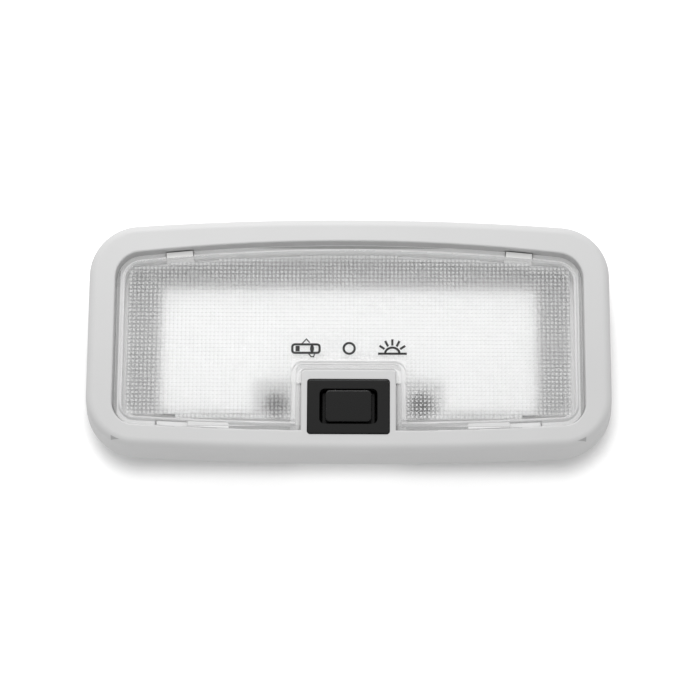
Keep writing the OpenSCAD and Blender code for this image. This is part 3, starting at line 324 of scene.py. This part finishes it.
def clear_plastic(name, tint, through, roughness=0.04, ior=1.49, glint_share=None):
    """Clear plastic or glass that lets the lamps' light through."""
    material = bpy.data.materials.new(name)
    material.use_nodes = True
    tree = material.node_tree
    shader = tree.nodes["Principled BSDF"]
    shader.inputs["Base Color"].default_value = (*tint, 1)
    shader.inputs["Transmission Weight"].default_value = 1
    shader.inputs["IOR"].default_value = ior
    place = tree.nodes.new("ShaderNodeTexCoord").outputs["Object"]
    haze = tree.nodes.new("ShaderNodeMapRange")
    haze.inputs["To Min"].default_value = roughness * 0.5
    haze.inputs["To Max"].default_value = roughness * 1.5
    tree.links.new(add_noise(tree, place, 90), haze.inputs["Value"])
    tree.links.new(haze.outputs["Result"], shader.inputs["Roughness"])
    body = shader.outputs["BSDF"]
    if glint_share is not None:
        body = painted_glints(tree, body, glint_share)
    open_way = tree.nodes.new("ShaderNodeBsdfTransparent")
    open_way.inputs["Color"].default_value = (*through, 1)
    blend = tree.nodes.new("ShaderNodeMixShader")
    tree.links.new(ray_mask(tree, "Is Shadow Ray", "Is Diffuse Ray"), blend.inputs["Fac"])
    tree.links.new(body, blend.inputs[1])
    tree.links.new(open_way.outputs["BSDF"], blend.inputs[2])
    tree.links.new(blend.outputs["Shader"], tree.nodes["Material Output"].inputs["Surface"])
    return material


def lens_glint_mask(tree):
    """Mask of the white haze that paints the lens's edge highlights and lightens its skirt: the steep edges,
    the skirt and collar, the island's border and the pads.
    """
    link = tree.links.new
    place = tree.nodes.new("ShaderNodeTexCoord")
    lean = tree.nodes.new("ShaderNodeSeparateXYZ")
    link(place.outputs["Normal"], lean.inputs["Vector"])
    level = add_node(tree, "ShaderNodeMath", operation="ABSOLUTE")
    link(lean.outputs["Z"], level.inputs[0])
    steep = tree.nodes.new("ShaderNodeMapRange")
    steep.inputs["From Min"].default_value = 0.95
    steep.inputs["From Max"].default_value = 0.8
    steep.inputs["To Max"].default_value = EDGE_GLINT_SHARE
    link(level.outputs[0], steep.inputs["Value"])
    share = steep.outputs["Result"]
    for middle, reach, strength in (
        (SKIRT_MIDDLE, SKIRT_REACH, SKIRT_GLINT_SHARE),
        (BORDER_MIDDLE, BORDER_REACH, BORDER_GLINT_SHARE),
        (PAD_MIDDLE, PAD_REACH, EDGE_GLINT_SHARE),
    ):
        part = add_node(tree, "ShaderNodeMath", operation="MULTIPLY")
        link(box_mask(tree, place.outputs["Object"], middle, reach), part.inputs[0])
        part.inputs[1].default_value = strength
        most = add_node(tree, "ShaderNodeMath", operation="MAXIMUM")
        link(share, most.inputs[0])
        link(part.outputs[0], most.inputs[1])
        share = most.outputs[0]
    return share


LENS_TINT = (0.998, 0.999, 0.999)
LENS_THROUGH = (0.995, 0.995, 0.995)
HAIR_OF_AIR = 0.01 * MM
lens_plastic = clear_plastic("clear_lens_plastic", LENS_TINT, LENS_THROUGH)
# The lens's steep edges, skirt, collar, island border and pads carry a white haze: painted highlights along
# its edges.
finish_node("lens", clear_plastic("edge_glint_lens_plastic", LENS_TINT, LENS_THROUGH, glint_share=lens_glint_mask))

# The flange lies on the bezel's ledge, and a hair of air keeps the two faces apart for the light.
hair = nodes["lens"].modifiers.new("hair_of_air", "DISPLACE")
hair.direction = "Z"
hair.mid_level = 0
hair.strength = HAIR_OF_AIR


def new_piece(name, mesh, material=None):
    """A new object of the lamp at the origin."""
    piece = bpy.data.objects.new(name, mesh)
    bpy.context.scene.collection.objects.link(piece)
    if material is not None:
        mesh.materials.append(material)
    return piece


def arc_drop(x, radius):
    """How far an arched edge has dropped at a distance from its middle."""
    return radius - math.sqrt(radius * radius - x * x)


def stipple_field():
    """Flat face with the outline of the stippled area, with the notch for the island."""
    steps = 24
    xs = [STIPPLE_SIDE * (2 * i / steps - 1) for i in range(steps + 1)]
    points = [(x, STIPPLE_TOP - arc_drop(x, STIPPLE_TOP_ARC)) for x in xs]
    low = [(x, STIPPLE_LOW + arc_drop(x, STIPPLE_LOW_ARC)) for x in reversed(xs)]
    points += [p for p in low if p[0] > ISLAND_SIDE]
    points += [(ISLAND_SIDE, STIPPLE_LOW), (ISLAND_SIDE, ISLAND_TOP)]
    points += [(-ISLAND_SIDE, ISLAND_TOP), (-ISLAND_SIDE, STIPPLE_LOW)]
    points += [p for p in low if p[0] < -ISLAND_SIDE]
    mesh = bpy.data.meshes.new("stipple_field")
    mesh.from_pydata([(x, y, PLATE_BACK) for x, y in points], [], [list(range(len(points)))])
    return mesh


def finished_mesh(shape, name):
    """The mesh of a drawn shape, with its faces turned outwards."""
    bmesh.ops.recalc_face_normals(shape, faces=shape.faces)
    mesh = bpy.data.meshes.new(name)
    shape.to_mesh(mesh)
    shape.free()
    return mesh


def stipple_cell():
    """One closed cell of the stipple: a small flat land amid slopes that run down to the cell's edges."""
    half = [(pitch - STIPPLE_GAP) / 2 for pitch in STIPPLE_PITCH]
    steps = (-1, -STIPPLE_LAND, STIPPLE_LAND, 1)
    last = len(steps) - 1
    shape = bmesh.new()
    rough_mark = shape.faces.layers.int.new("rough")
    glint_mark = shape.faces.layers.int.new("painted_glints")
    low = {}
    for i, u in enumerate(steps):
        for j, v in enumerate(steps):
            past_land = (abs(u) - STIPPLE_LAND) * half[0] + (abs(v) - STIPPLE_LAND) * half[1]
            depth = LAND_DEPTH + STIPPLE_SLOPE * past_land
            low[i, j] = shape.verts.new((u * half[0], v * half[1], -depth))
    for i in range(last):
        for j in range(last):
            face = shape.faces.new([low[i, j], low[i, j + 1], low[i + 1, j + 1], low[i + 1, j]])
            face[rough_mark] = 1
            # The land of each cell is marked for the white haze that paints its glint.
            face[glint_mark] = 1 if i == 1 and j == 1 else 0
    foot = [
        shape.verts.new((u * half[0], v * half[1], 0))
        for u, v in ((-1, -1), (1, -1), (1, 1), (-1, 1))
    ]
    shape.faces.new(foot)
    shape.faces.new([foot[1], foot[0]] + [low[i, 0] for i in range(last + 1)])
    shape.faces.new([foot[3], foot[2]] + [low[i, last] for i in range(last, -1, -1)])
    shape.faces.new([foot[0], foot[3]] + [low[0, j] for j in range(last, -1, -1)])
    shape.faces.new([foot[2], foot[1]] + [low[last, j] for j in range(last + 1)])
    return finished_mesh(shape, "stipple_cell")


def grid_tree():
    """Geometry nodes that put one cell on each grid point that lies over the field."""
    tree = bpy.data.node_groups.new("stipple_grid", "GeometryNodeTree")
    tree.interface.new_socket("Geometry", in_out="INPUT", socket_type="NodeSocketGeometry")
    for title, kind in (
        ("Pitch X", "Float"), ("Pitch Y", "Float"), ("Columns", "Int"), ("Rows", "Int"),
        ("Height", "Float"), ("Field", "Object"), ("Cell", "Object"),
        ("Material", "Material"), ("Rough material", "Material"), ("Glint material", "Material"),
    ):
        tree.interface.new_socket(title, in_out="INPUT", socket_type="NodeSocket" + kind)
    tree.interface.new_socket("Geometry", in_out="OUTPUT", socket_type="NodeSocketGeometry")
    given = tree.nodes.new("NodeGroupInput").outputs
    result = tree.nodes.new("NodeGroupOutput").inputs
    link = tree.links.new
    grid = tree.nodes.new("GeometryNodeMeshGrid")
    for side, pitch, count in (("X", "Pitch X", "Columns"), ("Y", "Pitch Y", "Rows")):
        fewer = add_node(tree, "ShaderNodeMath", operation="SUBTRACT")
        fewer.inputs[1].default_value = 1
        span = add_node(tree, "ShaderNodeMath", operation="MULTIPLY")
        link(given[count], fewer.inputs[0])
        link(fewer.outputs[0], span.inputs[0])
        link(given[pitch], span.inputs[1])
        link(span.outputs[0], grid.inputs["Size " + side])
        link(given[count], grid.inputs["Vertices " + side])
    lift = tree.nodes.new("ShaderNodeCombineXYZ")
    link(given["Height"], lift.inputs["Z"])
    placed = tree.nodes.new("GeometryNodeSetPosition")
    link(grid.outputs["Mesh"], placed.inputs["Geometry"])
    link(lift.outputs["Vector"], placed.inputs["Offset"])
    field = tree.nodes.new("GeometryNodeObjectInfo")
    link(given["Field"], field.inputs["Object"])
    ray = tree.nodes.new("GeometryNodeRaycast")
    link(field.outputs["Geometry"], ray.inputs["Target Geometry"])
    ray.inputs["Ray Direction"].default_value = (0, 0, 1)
    ray.inputs["Ray Length"].default_value = 5 * MM
    missed = add_node(tree, "FunctionNodeBooleanMath", operation="NOT")
    link(ray.outputs["Is Hit"], missed.inputs[0])
    kept = add_node(tree, "GeometryNodeDeleteGeometry", domain="POINT")
    link(placed.outputs["Geometry"], kept.inputs["Geometry"])
    link(missed.outputs[0], kept.inputs["Selection"])
    cell = tree.nodes.new("GeometryNodeObjectInfo")
    link(given["Cell"], cell.inputs["Object"])
    rows = tree.nodes.new("GeometryNodeInstanceOnPoints")
    link(kept.outputs["Geometry"], rows.inputs["Points"])
    link(cell.outputs["Geometry"], rows.inputs["Instance"])
    real = tree.nodes.new("GeometryNodeRealizeInstances")
    link(rows.outputs["Instances"], real.inputs["Geometry"])
    finish = tree.nodes.new("GeometryNodeSetMaterial")
    link(real.outputs["Geometry"], finish.inputs["Geometry"])
    link(given["Material"], finish.inputs["Material"])
    for mark, title in (("rough", "Rough material"), ("painted_glints", "Glint material")):
        marked = add_node(tree, "GeometryNodeInputNamedAttribute", data_type="INT")
        marked.inputs["Name"].default_value = mark
        part = tree.nodes.new("GeometryNodeSetMaterial")
        link(finish.outputs["Geometry"], part.inputs["Geometry"])
        link(marked.outputs["Attribute"], part.inputs["Selection"])
        link(given[title], part.inputs["Material"])
        finish = part
    link(finish.outputs["Geometry"], result["Geometry"])
    return tree


def grow(name, tree, settings):
    """Runs a geometry tree on an empty mesh and keeps its result as a plain mesh."""
    maker = new_piece("maker", bpy.data.meshes.new("maker"))
    modifier = maker.modifiers.new("grow", "NODES")
    modifier.node_group = tree
    for item in tree.interface.items_tree:
        if item.in_out == "INPUT" and item.name in settings:
            modifier[item.identifier] = settings[item.name]
    bpy.context.view_layer.update()
    seen = maker.evaluated_get(bpy.context.evaluated_depsgraph_get())
    mesh = bpy.data.meshes.new_from_object(seen)
    mesh.name = name
    bpy.data.objects.remove(maker)
    return new_piece(name, mesh)


field_piece = new_piece("stipple_field", stipple_field())
cell_piece = new_piece("stipple_cell", stipple_cell())
stipple = grow("lens_stipple", grid_tree(), {
    "Pitch X": STIPPLE_PITCH[0],
    "Pitch Y": STIPPLE_PITCH[1],
    "Columns": STIPPLE_COUNT[0],
    "Rows": STIPPLE_COUNT[1],
    "Height": PLATE_BACK - STIPPLE_GAP,
    "Field": field_piece,
    "Cell": cell_piece,
    "Material": lens_plastic,
    "Rough material": clear_plastic("stippled_lens_plastic", LENS_TINT, LENS_THROUGH, STIPPLE_HAZE),
    # The lands take most of the white haze: a painted glint on each cell.
    "Glint material": clear_plastic(
        "glint_land_lens_plastic", LENS_TINT, LENS_THROUGH, STIPPLE_HAZE, glint_share=LAND_GLINT_SHARE
    ),
})
bpy.data.objects.remove(field_piece)
bpy.data.objects.remove(cell_piece)
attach(stipple, "lamp")

# Symbols. Three small signs, printed in black on the front of the lens, one for each switch position.
# They are a car with its doors open, a ring and a rising sun.
INK_HEIGHT = 0.03 * MM
INK_LINE = 0.6 * MM
THIN_LINE = 0.3 * MM


def band(shape, points, width, closed=False):
    """A raised printed line along points, with mitred corners."""
    count = len(points)
    rails = []
    for i in range(count):
        here = Vector(points[i])
        before = Vector(points[i - 1]) if closed or i > 0 else None
        after = Vector(points[(i + 1) % count]) if closed or i < count - 1 else None
        into = (here - before).normalized() if before is not None else (after - here).normalized()
        out = (after - here).normalized() if after is not None else into
        mean = (into + out).normalized()
        side = Vector((-mean.y, mean.x)) * (width / 2 / max(mean.dot(into), 0.4))
        rails.append((here + side, here - side))
    fill(shape, rails, closed)


def join_rings(shape, rings, closed=False):
    """Faces from each ring of points to the next, with an end face at both ends unless the run is closed."""
    pairs = list(zip(rings, rings[1:]))
    if closed:
        pairs.append((rings[-1], rings[0]))
    else:
        shape.faces.new(rings[0])
        shape.faces.new(rings[-1])
    for one, other in pairs:
        count = len(one)
        for k in range(count):
            shape.faces.new([one[k], other[k], other[(k + 1) % count], one[(k + 1) % count]])


def fill(shape, rails, closed):
    """A thin closed solid between two rails of points."""
    rings = []
    for left, right in rails:
        rings.append([
            shape.verts.new((left.x, left.y, PLATE_FRONT + INK_HEIGHT)),
            shape.verts.new((right.x, right.y, PLATE_FRONT + INK_HEIGHT)),
            shape.verts.new((right.x, right.y, PLATE_FRONT)),
            shape.verts.new((left.x, left.y, PLATE_FRONT)),
        ])
    join_rings(shape, rings, closed)


def ring_points(centre, radii, start=0.0, sweep=360.0, count=48):
    """Points on a circle or an ellipse, or on a part of one."""
    closed = sweep == 360
    steps = count if closed else count - 1
    points = []
    for i in range(count):
        angle = math.radians(start + sweep * i / steps)
        points.append((centre[0] + radii[0] * math.cos(angle), centre[1] + radii[1] * math.sin(angle)))
    return points


def soft_box(left, right, low, top, radius, count=6):
    """Points round a rectangle with round corners."""
    points = []
    for x, y, start in (
        (right - radius, top - radius, 0), (left + radius, top - radius, 90),
        (left + radius, low + radius, 180), (right - radius, low + radius, 270),
    ):
        points += ring_points((x, y), (radius, radius), start, 90, count)
    return points


def in_mm(points):
    """Points given in millimetres, as metres."""
    return [(x * MM, y * MM) for x, y in points]


def print_sign(name, draw):
    """One printed sign as a closed mesh."""
    shape = bmesh.new()
    draw(shape)
    piece = new_piece(name, finished_mesh(shape, name), ink)
    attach(piece, "lamp")


def draw_doors(shape):
    """Car seen from above with both doors on one side open."""
    band(shape, in_mm(soft_box(-14.9, -7.7, -4.85, -2.55, 0.7)), INK_LINE, closed=True)
    band(shape, in_mm([(-13.5, -2.95), (-13.5, -4.45)]), 1.1 * MM)
    slices = [math.radians(15 + 30 * k) for k in range(6)]
    fill(shape, [
        [Vector((-9.7 + side * 0.55 * math.sin(a), -3.7 + 1.05 * math.cos(a))) * MM for side in (-1, 1)]
        for a in slices
    ], False)
    band(shape, in_mm([(-12.3, -2.3), (-11.2, -1.1), (-10.3, -2.1)]), THIN_LINE)
    band(shape, in_mm([(-10.6, -5.0), (-9.9, -5.9), (-9.3, -5.9), (-9.0, -5.1)]), THIN_LINE)


def draw_off(shape):
    """Plain ring."""
    band(shape, in_mm(ring_points((0.1, -3.6), (1.45, 1.45))), INK_LINE, closed=True)


def draw_on(shape):
    """Rising sun with five rays over a line."""
    middle = 11.48
    band(shape, in_mm([(7.7, -5.0), (15.3, -5.0)]), INK_LINE)
    band(shape, in_mm(ring_points((middle, -5.0), (1.9, 1.65), 0, 180, 24)), INK_LINE)
    band(shape, in_mm([(middle, -1.1), (middle, -2.8)]), INK_LINE)
    for side in (-1, 1):
        band(shape, in_mm([(middle + side * 1.88, -1.55), (middle + side * 1.13, -3.05)]), INK_LINE)
        band(shape, in_mm([(middle + side * 3.4, -2.85), (middle + side * 2.05, -3.75)]), INK_LINE)


ink = moulded("symbol_ink", (0.02, 0.02, 0.02), 4000, 0.5, 0.3, 0.003 * MM)
print_sign("door_symbol", draw_doors)
print_sign("off_symbol", draw_off)
print_sign("on_symbol", draw_on)

# Opal cover. A flat sheet of milky plastic over the bulb chamber, cut out for the switch and the screws.
# It is the white field behind the stipple, smooth, with a faint cloudiness.
finish_node("opal_cover", moulded("opal_plastic", (0.93, 0.93, 0.93), 1500, 0.35, 0.03, 0.01 * MM))

# Housing. The rear box, moulded in white plastic with a plain, slightly worn tool finish.
# Hooks on it hold the lens and show through the upper windows of the lens.
finish_node("housing", moulded("white_housing_plastic", (0.86, 0.86, 0.85), 1800, 0.4, 0.06))

# Reflector. Bright aluminium sheet behind the bulb, folded to a trough and rolled along its length.
# Every metal piece of the lamp shares this kind of surface, each with its own tone, tarnish and shine.
worked_sheet, sheet_in, sheet_out = new_group(
    "worked_sheet",
    [
        ("Tone", "Color", (0.8, 0.8, 0.8, 1)),
        ("Tarnish", "Color", (0.6, 0.6, 0.6, 1)),
        ("Shine", "Float", 0.25),
        ("Shine spread", "Float", 0.2),
    ],
    [("Colour", "Color"), ("Roughness", "Float"), ("Height", "Float")],
)
sheet_place = worked_sheet.nodes.new("ShaderNodeTexCoord").outputs["Object"]
sheet_lines = add_noise(worked_sheet, sheet_place, 900, 4, (0.04, 1, 1))
sheet_cloud = add_noise(worked_sheet, sheet_place, 140)
sheet_mix = add_node(worked_sheet, "ShaderNodeMix", data_type="RGBA")
worked_sheet.links.new(sheet_cloud, sheet_mix.inputs["Factor"])
worked_sheet.links.new(sheet_in["Tone"], sheet_mix.inputs["A"])
worked_sheet.links.new(sheet_in["Tarnish"], sheet_mix.inputs["B"])
worked_sheet.links.new(sheet_mix.outputs["Result"], sheet_out["Colour"])
worked_sheet.links.new(
    spread_value(worked_sheet, sheet_lines, sheet_in["Shine"], sheet_in["Shine spread"]),
    sheet_out["Roughness"],
)
worked_sheet.links.new(sheet_lines, sheet_out["Height"])


def sheet_metal(name, tone, tarnish, shine=0.25, relief=0.01 * MM):
    """A stamped or rolled metal."""
    settings = {"Tone": (*tone, 1), "Tarnish": (*tarnish, 1), "Shine": shine}
    return skin_material(name, worked_sheet, settings, relief, Metallic=1.0)


finish_node("reflector", sheet_metal("reflector_sheet", (0.88, 0.88, 0.89), (0.8, 0.8, 0.82), 0.2))

# Housing screws. Two pan-head screws in black zinc hold the housing to the bezel from the front.
# Their heads show through the stipple as two dark patches beside the switch.
finish_node("housing_screws", sheet_metal("black_zinc", (0.05, 0.05, 0.05), (0.02, 0.02, 0.022), 0.35))

# Panel spring. Blued spring steel, bent to a bulge that snaps behind the roof panel.
# It is stamped from strip and slides in between guides at one end of the housing.
finish_node("panel_spring", sheet_metal("spring_steel", (0.5, 0.51, 0.54), (0.36, 0.37, 0.42), 0.3))

# Switch. Its frame and its rocker are black satin plastic, the rocker a touch smoother from the tool.
# Inside are a nylon plunger on a small spring and a brass contact that tilts on the middle terminal.
SWITCH_BLACK = (0.004, 0.004, 0.004)
black_sheen = {"Specular_IOR_Level": 0.31}
finish_node("switch_frame", moulded("black_frame_plastic", SWITCH_BLACK, 2400, 0.34, 0.1, **black_sheen))
finish_node("rocker", moulded("black_rocker_plastic", SWITCH_BLACK, 2400, 0.28, 0.1, **black_sheen))
finish_node("plunger", moulded("nylon", (0.75, 0.7, 0.6), 1500, 0.4))
finish_node("switch_base", moulded("black_base_plastic", (0.015, 0.015, 0.015), 1500, 0.5, 0.3))

# Plunger spring. A coil of round spring wire, its end turns lying flat, free between plunger and rocker.
# It is carried with the rocker.
COIL_MIDDLE = (0, -19.66 * MM)
COIL_LOW = 17.61 * MM
COIL_TOP = 20.89 * MM
COIL_RADIUS = 1.1 * MM
COIL_WIRE = 0.28 * MM
COIL_TURNS = 6


def coil_height(turn):
    """Height of the wire's middle at a turn."""
    rise = COIL_TOP - COIL_LOW - COIL_WIRE
    if turn < 1:
        along = COIL_WIRE * turn
    elif turn > COIL_TURNS - 1:
        along = rise - COIL_WIRE * (COIL_TURNS - turn)
    else:
        along = COIL_WIRE + (rise - 2 * COIL_WIRE) * (turn - 1) / (COIL_TURNS - 2)
    return COIL_LOW + COIL_WIRE / 2 + along


def wound_coil(steps=24, sides=10):
    """Round wire wound to a closed solid coil, with a number of steps to a turn."""
    shape = bmesh.new()
    rings = []
    for i in range(steps * COIL_TURNS + 1):
        around = math.radians(360 * i / steps)
        ring = []
        for x, y in ring_points((COIL_RADIUS - COIL_WIRE / 2, 0), (COIL_WIRE / 2,) * 2, count=sides):
            ring.append(shape.verts.new((
                COIL_MIDDLE[0] + x * math.cos(around),
                COIL_MIDDLE[1] + x * math.sin(around),
                coil_height(i / steps) + y,
            )))
        rings.append(ring)
    join_rings(shape, rings)
    return finished_mesh(shape, "plunger_coil")


spring_wire = sheet_metal("spring_wire", (0.55, 0.56, 0.58), (0.42, 0.43, 0.46))
coil = new_piece("plunger_coil", wound_coil(), spring_wire)
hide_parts("plunger_spring")
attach(coil, "rocker")
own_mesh(coil)

# Contacts. The strips, blades and terminals are stamped brass, bright where they were cut.
# Two of the strips hold the bulb by its caps, and three end in blades for push-on connectors.
brass = sheet_metal("contact_brass", (0.78, 0.58, 0.28), (0.62, 0.44, 0.2), 0.28)
for contact in (
    "seesaw_contact", "terminal_door", "terminal_common", "terminal_on",
    "feed_contact", "lamp_contact", "door_contact", "earth_contact",
):
    finish_node(contact, brass)

# Bulb. A clear tube with a nickel-plated cap at each end and a tungsten filament between them.
# It lies lengthwise in the lamp behind the opal cover, held at its caps.
finish_node("bulb_glass", clear_plastic("bulb_glass", (0.98, 0.99, 0.99), (0.97, 0.97, 0.97), 0.01, 1.5))
nickel = sheet_metal("nickel_cap", (0.72, 0.71, 0.68), (0.6, 0.59, 0.55), 0.2)
finish_node("bulb_cap_left", nickel)
finish_node("bulb_cap_right", nickel)
finish_node("bulb_filament", sheet_metal("tungsten", (0.32, 0.32, 0.34), (0.2, 0.2, 0.22), 0.4))

# Table and light. A plain white table under the lamp, in an even white room.
# A broad soft light stands above and behind the lamp, a little to the left.
TABLE_SIZE = 4.0
TABLE_SHADE = 0.86
TABLE_GLOW = 0.5
GLOW_FROM = (66 * MM, 27 * MM)
GLOW_CORNER = 10 * MM
GLOW_RAMP = (2 * MM, 9 * MM)
ROOM_LIGHT = 0.75
LAMP_PLACE = (-0.05, 0.27, 0.26)
LAMP_WIDTH = 0.25
LAMP_POWER = 0.73


def glow_around(tree):
    """Strength of the table's glow, which starts outside the lamp so that the shadow under it stays."""
    link = tree.links.new
    place = tree.nodes.new("ShaderNodeTexCoord").outputs["Object"]
    mirrored = add_node(tree, "ShaderNodeVectorMath", operation="ABSOLUTE")
    link(place, mirrored.inputs[0])
    beyond = add_node(tree, "ShaderNodeVectorMath", operation="SUBTRACT")
    link(mirrored.outputs["Vector"], beyond.inputs[0])
    beyond.inputs[1].default_value = (GLOW_FROM[0] - GLOW_CORNER, GLOW_FROM[1] - GLOW_CORNER, 0)
    outside = add_node(tree, "ShaderNodeVectorMath", operation="MAXIMUM")
    link(beyond.outputs["Vector"], outside.inputs[0])
    distance = add_node(tree, "ShaderNodeVectorMath", operation="LENGTH")
    link(outside.outputs["Vector"], distance.inputs[0])
    ramp = add_node(tree, "ShaderNodeMapRange", interpolation_type="SMOOTHSTEP")
    ramp.inputs["From Min"].default_value = GLOW_CORNER + GLOW_RAMP[0]
    ramp.inputs["From Max"].default_value = GLOW_CORNER + GLOW_RAMP[1]
    ramp.inputs["To Max"].default_value = TABLE_GLOW
    link(distance.outputs["Value"], ramp.inputs["Value"])
    return ramp.outputs["Result"]


def plain_table():
    """White surface that holds the lamp's shadow and shows white where it has none."""
    mesh = bpy.data.meshes.new("table")
    half = TABLE_SIZE / 2
    corners = [(-half, -half, 0), (half, -half, 0), (half, half, 0), (-half, half, 0)]
    mesh.from_pydata(corners, [], [[0, 1, 2, 3]])
    material = bpy.data.materials.new("white_table")
    material.use_nodes = True
    tree = material.node_tree
    shader = tree.nodes["Principled BSDF"]
    shader.inputs["Roughness"].default_value = 0.9
    shader.inputs["Specular IOR Level"].default_value = 0.0
    shader.inputs["Base Color"].default_value = (TABLE_SHADE, TABLE_SHADE, TABLE_SHADE, 1)
    glow = tree.nodes.new("ShaderNodeEmission")
    strength = add_node(tree, "ShaderNodeMath", operation="MULTIPLY")
    tree.links.new(ray_mask(tree, "Is Camera Ray", "Is Transmission Ray"), strength.inputs[0])
    tree.links.new(glow_around(tree), strength.inputs[1])
    tree.links.new(strength.outputs[0], glow.inputs["Strength"])
    both = tree.nodes.new("ShaderNodeAddShader")
    tree.links.new(shader.outputs["BSDF"], both.inputs[0])
    tree.links.new(glow.outputs["Emission"], both.inputs[1])
    tree.links.new(both.outputs["Shader"], tree.nodes["Material Output"].inputs["Surface"])
    new_piece("table", mesh, material)


def soft_lamp(name, place, width, power):
    """Square area lamp that faces the middle of the lamp."""
    light = bpy.data.lights.new(name, "AREA")
    light.shape = "SQUARE"
    light.size = width
    light.energy = power
    stand = bpy.data.objects.new(name, light)
    stand.location = place
    stand.rotation_euler = (-Vector(place)).to_track_quat("-Z", "Y").to_euler()
    bpy.context.scene.collection.objects.link(stand)


plain_table()
soft_lamp("top_light", LAMP_PLACE, LAMP_WIDTH, LAMP_POWER)

room = bpy.data.worlds.new("room")
room.use_nodes = True
room_tree = room.node_tree
room_back = room_tree.nodes["Background"]
room_back.inputs["Color"].default_value = (1, 1, 1, 1)
room_mix = room_tree.nodes.new("ShaderNodeMapRange")
room_mix.inputs["To Min"].default_value = ROOM_LIGHT
room_mix.inputs["To Max"].default_value = 1.0
room_tree.links.new(ray_mask(room_tree, "Is Camera Ray", "Is Transmission Ray"), room_mix.inputs["Value"])
room_tree.links.new(room_mix.outputs["Result"], room_back.inputs["Strength"])
bpy.context.scene.world = room
bpy.context.scene.view_settings.view_transform = "Standard"
